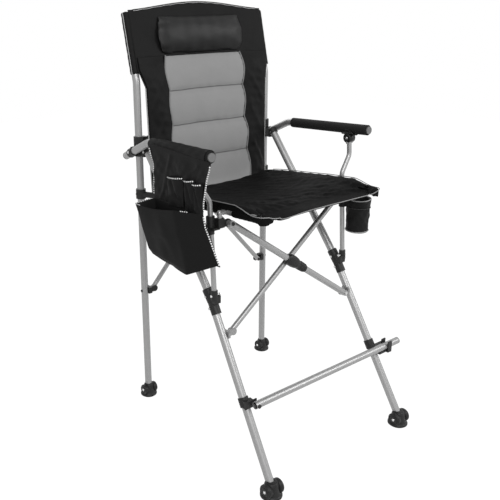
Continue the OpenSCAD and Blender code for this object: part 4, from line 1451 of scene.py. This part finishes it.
class CHAIR_OT_cup(bpy.types.Operator):
    """Makes the cup holder: a padded cloth cup with a bound rim, a hem, a seam and a strap"""

    bl_idname = "chair.cup"
    bl_label = "Cup holder"

    def execute(self, context):
        tones = context.scene.chair_cloth
        cloth = cloth_finish("black weave, cup", tones.black * 1.7, tones.black * 0.8, (0, 2))
        edge = trim_finish("gray piping, cup", tones.piping * 0.8)
        dark = trim_finish("black binding, cup", tones.black * 3.5)
        outer = [(38 + 2.6 * h / CUP_H, h) for h in np.linspace(3, CUP_H - 2, 30)]
        inner = [(r - 4.2, max(h, 6)) for r, h in reversed(outer)]
        base = [(4.0, 6), (4.0, 0.5), (34.0, 0.5), (37.0, 1.5)]
        cup = turned("cup_cloth", base[2:] + outer + inner + base[:2], CUP, wave=self.wrinkle)
        sleeve = [(40.2 + 0.5 * k, CUP_BAND + 7 * k) for k in range(5)]
        band = turned(
            "cup_band", sleeve + [(r - 1.6, h) for r, h in reversed(sleeve)], CUP,
            wave=lambda a, z: 0.5 * np.sin(5 * a + z / 9),
        )
        floor = turned("cup_floor", [(0.01, 0.6), (6.0, 0.6), (6.0, 5.8), (0.01, 5.8)], CUP)
        cup = join("cup_cloth", [cup, floor, band, self.strap()])
        paint(cup, cloth)
        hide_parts("cup_holder")
        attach(cup, "right_frame")
        for name, radius, height, size, finish in (
            ("cup_rim", 41.4, CUP_H - 1.5, 1.5, edge), ("cup_hem", 40.9, CUP_BAND, 1.2, dark),
            ("cup_seam", 38.9, 5.0, 1.6, edge),
        ):
            a = circle(90)
            ring = CUP + as_points(radius * np.cos(a), radius * np.sin(a), height + 0 * a)
            ring[:, 2] += 0.9 * np.sin(2 * a + height)
            band = sweep(name, ring, size, 8, closed=True)
            paint(band, finish)
            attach(band, "right_frame")
        return {"FINISHED"}

    @staticmethod
    def wrinkle(a, z):
        """Creases of slack cloth: three sines that wind round the cup, calm at its rim and foot."""
        calm = np.clip(np.sin(math.pi * z / CUP_H), 0, 1)
        lean = 1.1 * np.sin(4 * a + z / 13) + 0.9 * np.sin(7 * a - z / 8 + 2) + 0.6 * np.sin(11 * a + z / 5)
        return calm * (lean - 0.6)

    @staticmethod
    def strap():
        """Webbing of even thickness along a loop: from the cup's side, round the post in an arc, and back."""
        post = np.array([POST_X + 7, REAR_Y - 391 + 178 * math.tan(POST_LEAN)])
        turn = np.radians(np.linspace(60, 300, 20))
        arc = post + 10.5 * as_points(np.cos(turn), np.sin(turn))
        ends = CUP[:2] + np.array([[-30, 16], [-30, -12]])
        path = resample(np.concatenate([ends[:1], arc, ends[1:]]), 70)
        a = np.gradient(path, axis=0)
        a = a / np.linalg.norm(a, axis=1, keepdims=True)
        side = as_points(a[:, 1], -a[:, 0])
        z = np.linspace(CUP[2] + CUP_H - 26, CUP[2] + CUP_H - 8, 6)
        shells = []
        for off in (0.9, -0.9):
            x, y = (path + side * off).T[..., None]
            shells.append(as_points(x + 0 * z, y + 0 * z, z + 0 * x))
        return slab("cup_strap", shells[0], shells[1])


WHITE = (1, 1, 1, 1)
# Name, place in metres, watts and edge in metres of each lamp
LAMPS = (
    ("key", (-1.6, -2.6, 2.9), 74, 1.3),
    ("fill", (2.3, -2.4, 2.4), 46, 1.3),
    ("rim", (1.0, 2.8, 2.6), 30, 2.0),
)
# Focal length as a share of the sensor's width, the shift of the picture and the height looked at, in metres
SENSOR_WIDTH = 36
FOCAL_SHARE = 692 / 500
LENS_SHIFT = (0.083, -0.0742)
AIM_HEIGHT = 0.6346


class CHAIR_OT_stage(bpy.types.Operator):
    """Sets the pale floor, the light and the camera"""

    bl_idname = "chair.stage"
    bl_label = "Stage"

    def execute(self, context):
        scene = context.scene
        facts = scene.chair_stage
        self.floor()
        self.sky(scene, facts.light)
        for name, spot, watts, size in LAMPS:
            self.lamp(name, np.array(spot), watts, size)
        lens = bpy.data.cameras.new("camera")
        lens.sensor_width = SENSOR_WIDTH
        lens.lens = FOCAL_SHARE * SENSOR_WIDTH
        lens.shift_x, lens.shift_y = LENS_SHIFT
        lens.clip_end = 60
        eye = bpy.data.objects.new("camera", lens)
        scene.collection.objects.link(eye)
        az, el, far = facts.azimuth, facts.elevation, facts.distance
        aim = np.array([0, REAR_Y * MM, AIM_HEIGHT])
        look = np.array([-math.sin(az) * math.cos(el), math.cos(az) * math.cos(el), -math.sin(el)])
        eye.location = aim - far * look
        eye.rotation_euler = (math.pi / 2 - el, 0, az)
        scene.camera = eye
        scene.view_settings.view_transform = "Standard"
        return {"FINISHED"}

    @staticmethod
    def floor():
        """A level floor, pale where it is seen, that still takes the chair's shadow."""
        book = Finish("pale floor")
        seen = book.plain_view()
        shade = book.node("ShaderNodeBsdfDiffuse", {}, (0.92, 0.92, 0.92, 1))
        glow = book.node("ShaderNodeEmission", {}, WHITE, 1.08)
        book.show(book.node("ShaderNodeMixShader", {}, seen * 0.93, shade, glow))
        side = 6000
        corners = [(-side, -side, 0), (side, -side, 0), (side, side, 0), (-side, side, 0)]
        ground = add_mesh("floor", corners, [(0, 1, 2, 3)])
        paint(ground, book.material)
        ground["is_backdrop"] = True

    @staticmethod
    def sky(scene, strength):
        """An even light from all round, behind which the background is plain white."""
        scene.world = bpy.data.worlds.new("sky")
        book = Book(scene.world, "ShaderNodeOutputWorld")
        even = book.node("ShaderNodeBackground", {}, WHITE, strength)
        white = book.node("ShaderNodeBackground", {}, WHITE, 1.0)
        book.show(book.node("ShaderNodeMixShader", {}, book.plain_view(), even, white))

    @staticmethod
    def lamp(name, spot, watts, size):
        """A square lamp at a spot, turned to the middle of the chair."""
        light = bpy.data.lights.new(name, "AREA")
        light.energy = watts
        light.size = size
        holder = bpy.data.objects.new(name, light)
        bpy.context.scene.collection.objects.link(holder)
        aim = np.array([0, 0, 0.7]) - spot
        flat = math.hypot(aim[0], aim[1])
        holder.location = spot
        holder.rotation_euler = (math.atan2(flat, -aim[2]), 0, math.atan2(-aim[0], aim[1]))


class CHAIR_PT_panel(bpy.types.Panel):
    """Lists the chair's settings and steps in the sidebar"""

    bl_label = "Director chair"
    bl_idname = "CHAIR_PT_panel"
    bl_space_type = "VIEW_3D"
    bl_region_type = "UI"
    bl_category = "Chair"

    def draw(self, context):
        column = self.layout.column()
        for group in (context.scene.chair_cloth, context.scene.chair_frame, context.scene.chair_stage):
            for key in group.__annotations__:
                column.prop(group, key)
        for step in STEPS:
            column.operator(step.bl_idname)


GROUPS = {
    "chair_cloth": ChairClothSettings,
    "chair_frame": ChairFrameSettings,
    "chair_stage": ChairStageSettings,
}
STEPS = (
    CHAIR_OT_frame_finishes,
    CHAIR_OT_feet,
    CHAIR_OT_hub,
    CHAIR_OT_arm_ear,
    CHAIR_OT_back,
    CHAIR_OT_cushion,
    CHAIR_OT_pillow,
    CHAIR_OT_seat,
    CHAIR_OT_bag,
    CHAIR_OT_cup,
    CHAIR_OT_stage,
)


def register():
    for kind in (*GROUPS.values(), *STEPS, CHAIR_PT_panel):
        bpy.utils.register_class(kind)
    for name, kind in GROUPS.items():
        setattr(bpy.types.Scene, name, bpy.props.PointerProperty(type=kind))


def unregister():
    for name in GROUPS:
        delattr(bpy.types.Scene, name)
    for kind in (CHAIR_PT_panel, *reversed(STEPS), *GROUPS.values()):
        bpy.utils.unregister_class(kind)


def main():
    register()
    for step in STEPS:
        group, name = step.bl_idname.split(".")
        getattr(getattr(bpy.ops, group), name)()
    boxes = {"solids": SOLID_BOX, "dressed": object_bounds()}
    {key: [[float(c) for c in corner] for corner in box] for key, box in boxes.items()}


if __name__ == "__main__":
    main()
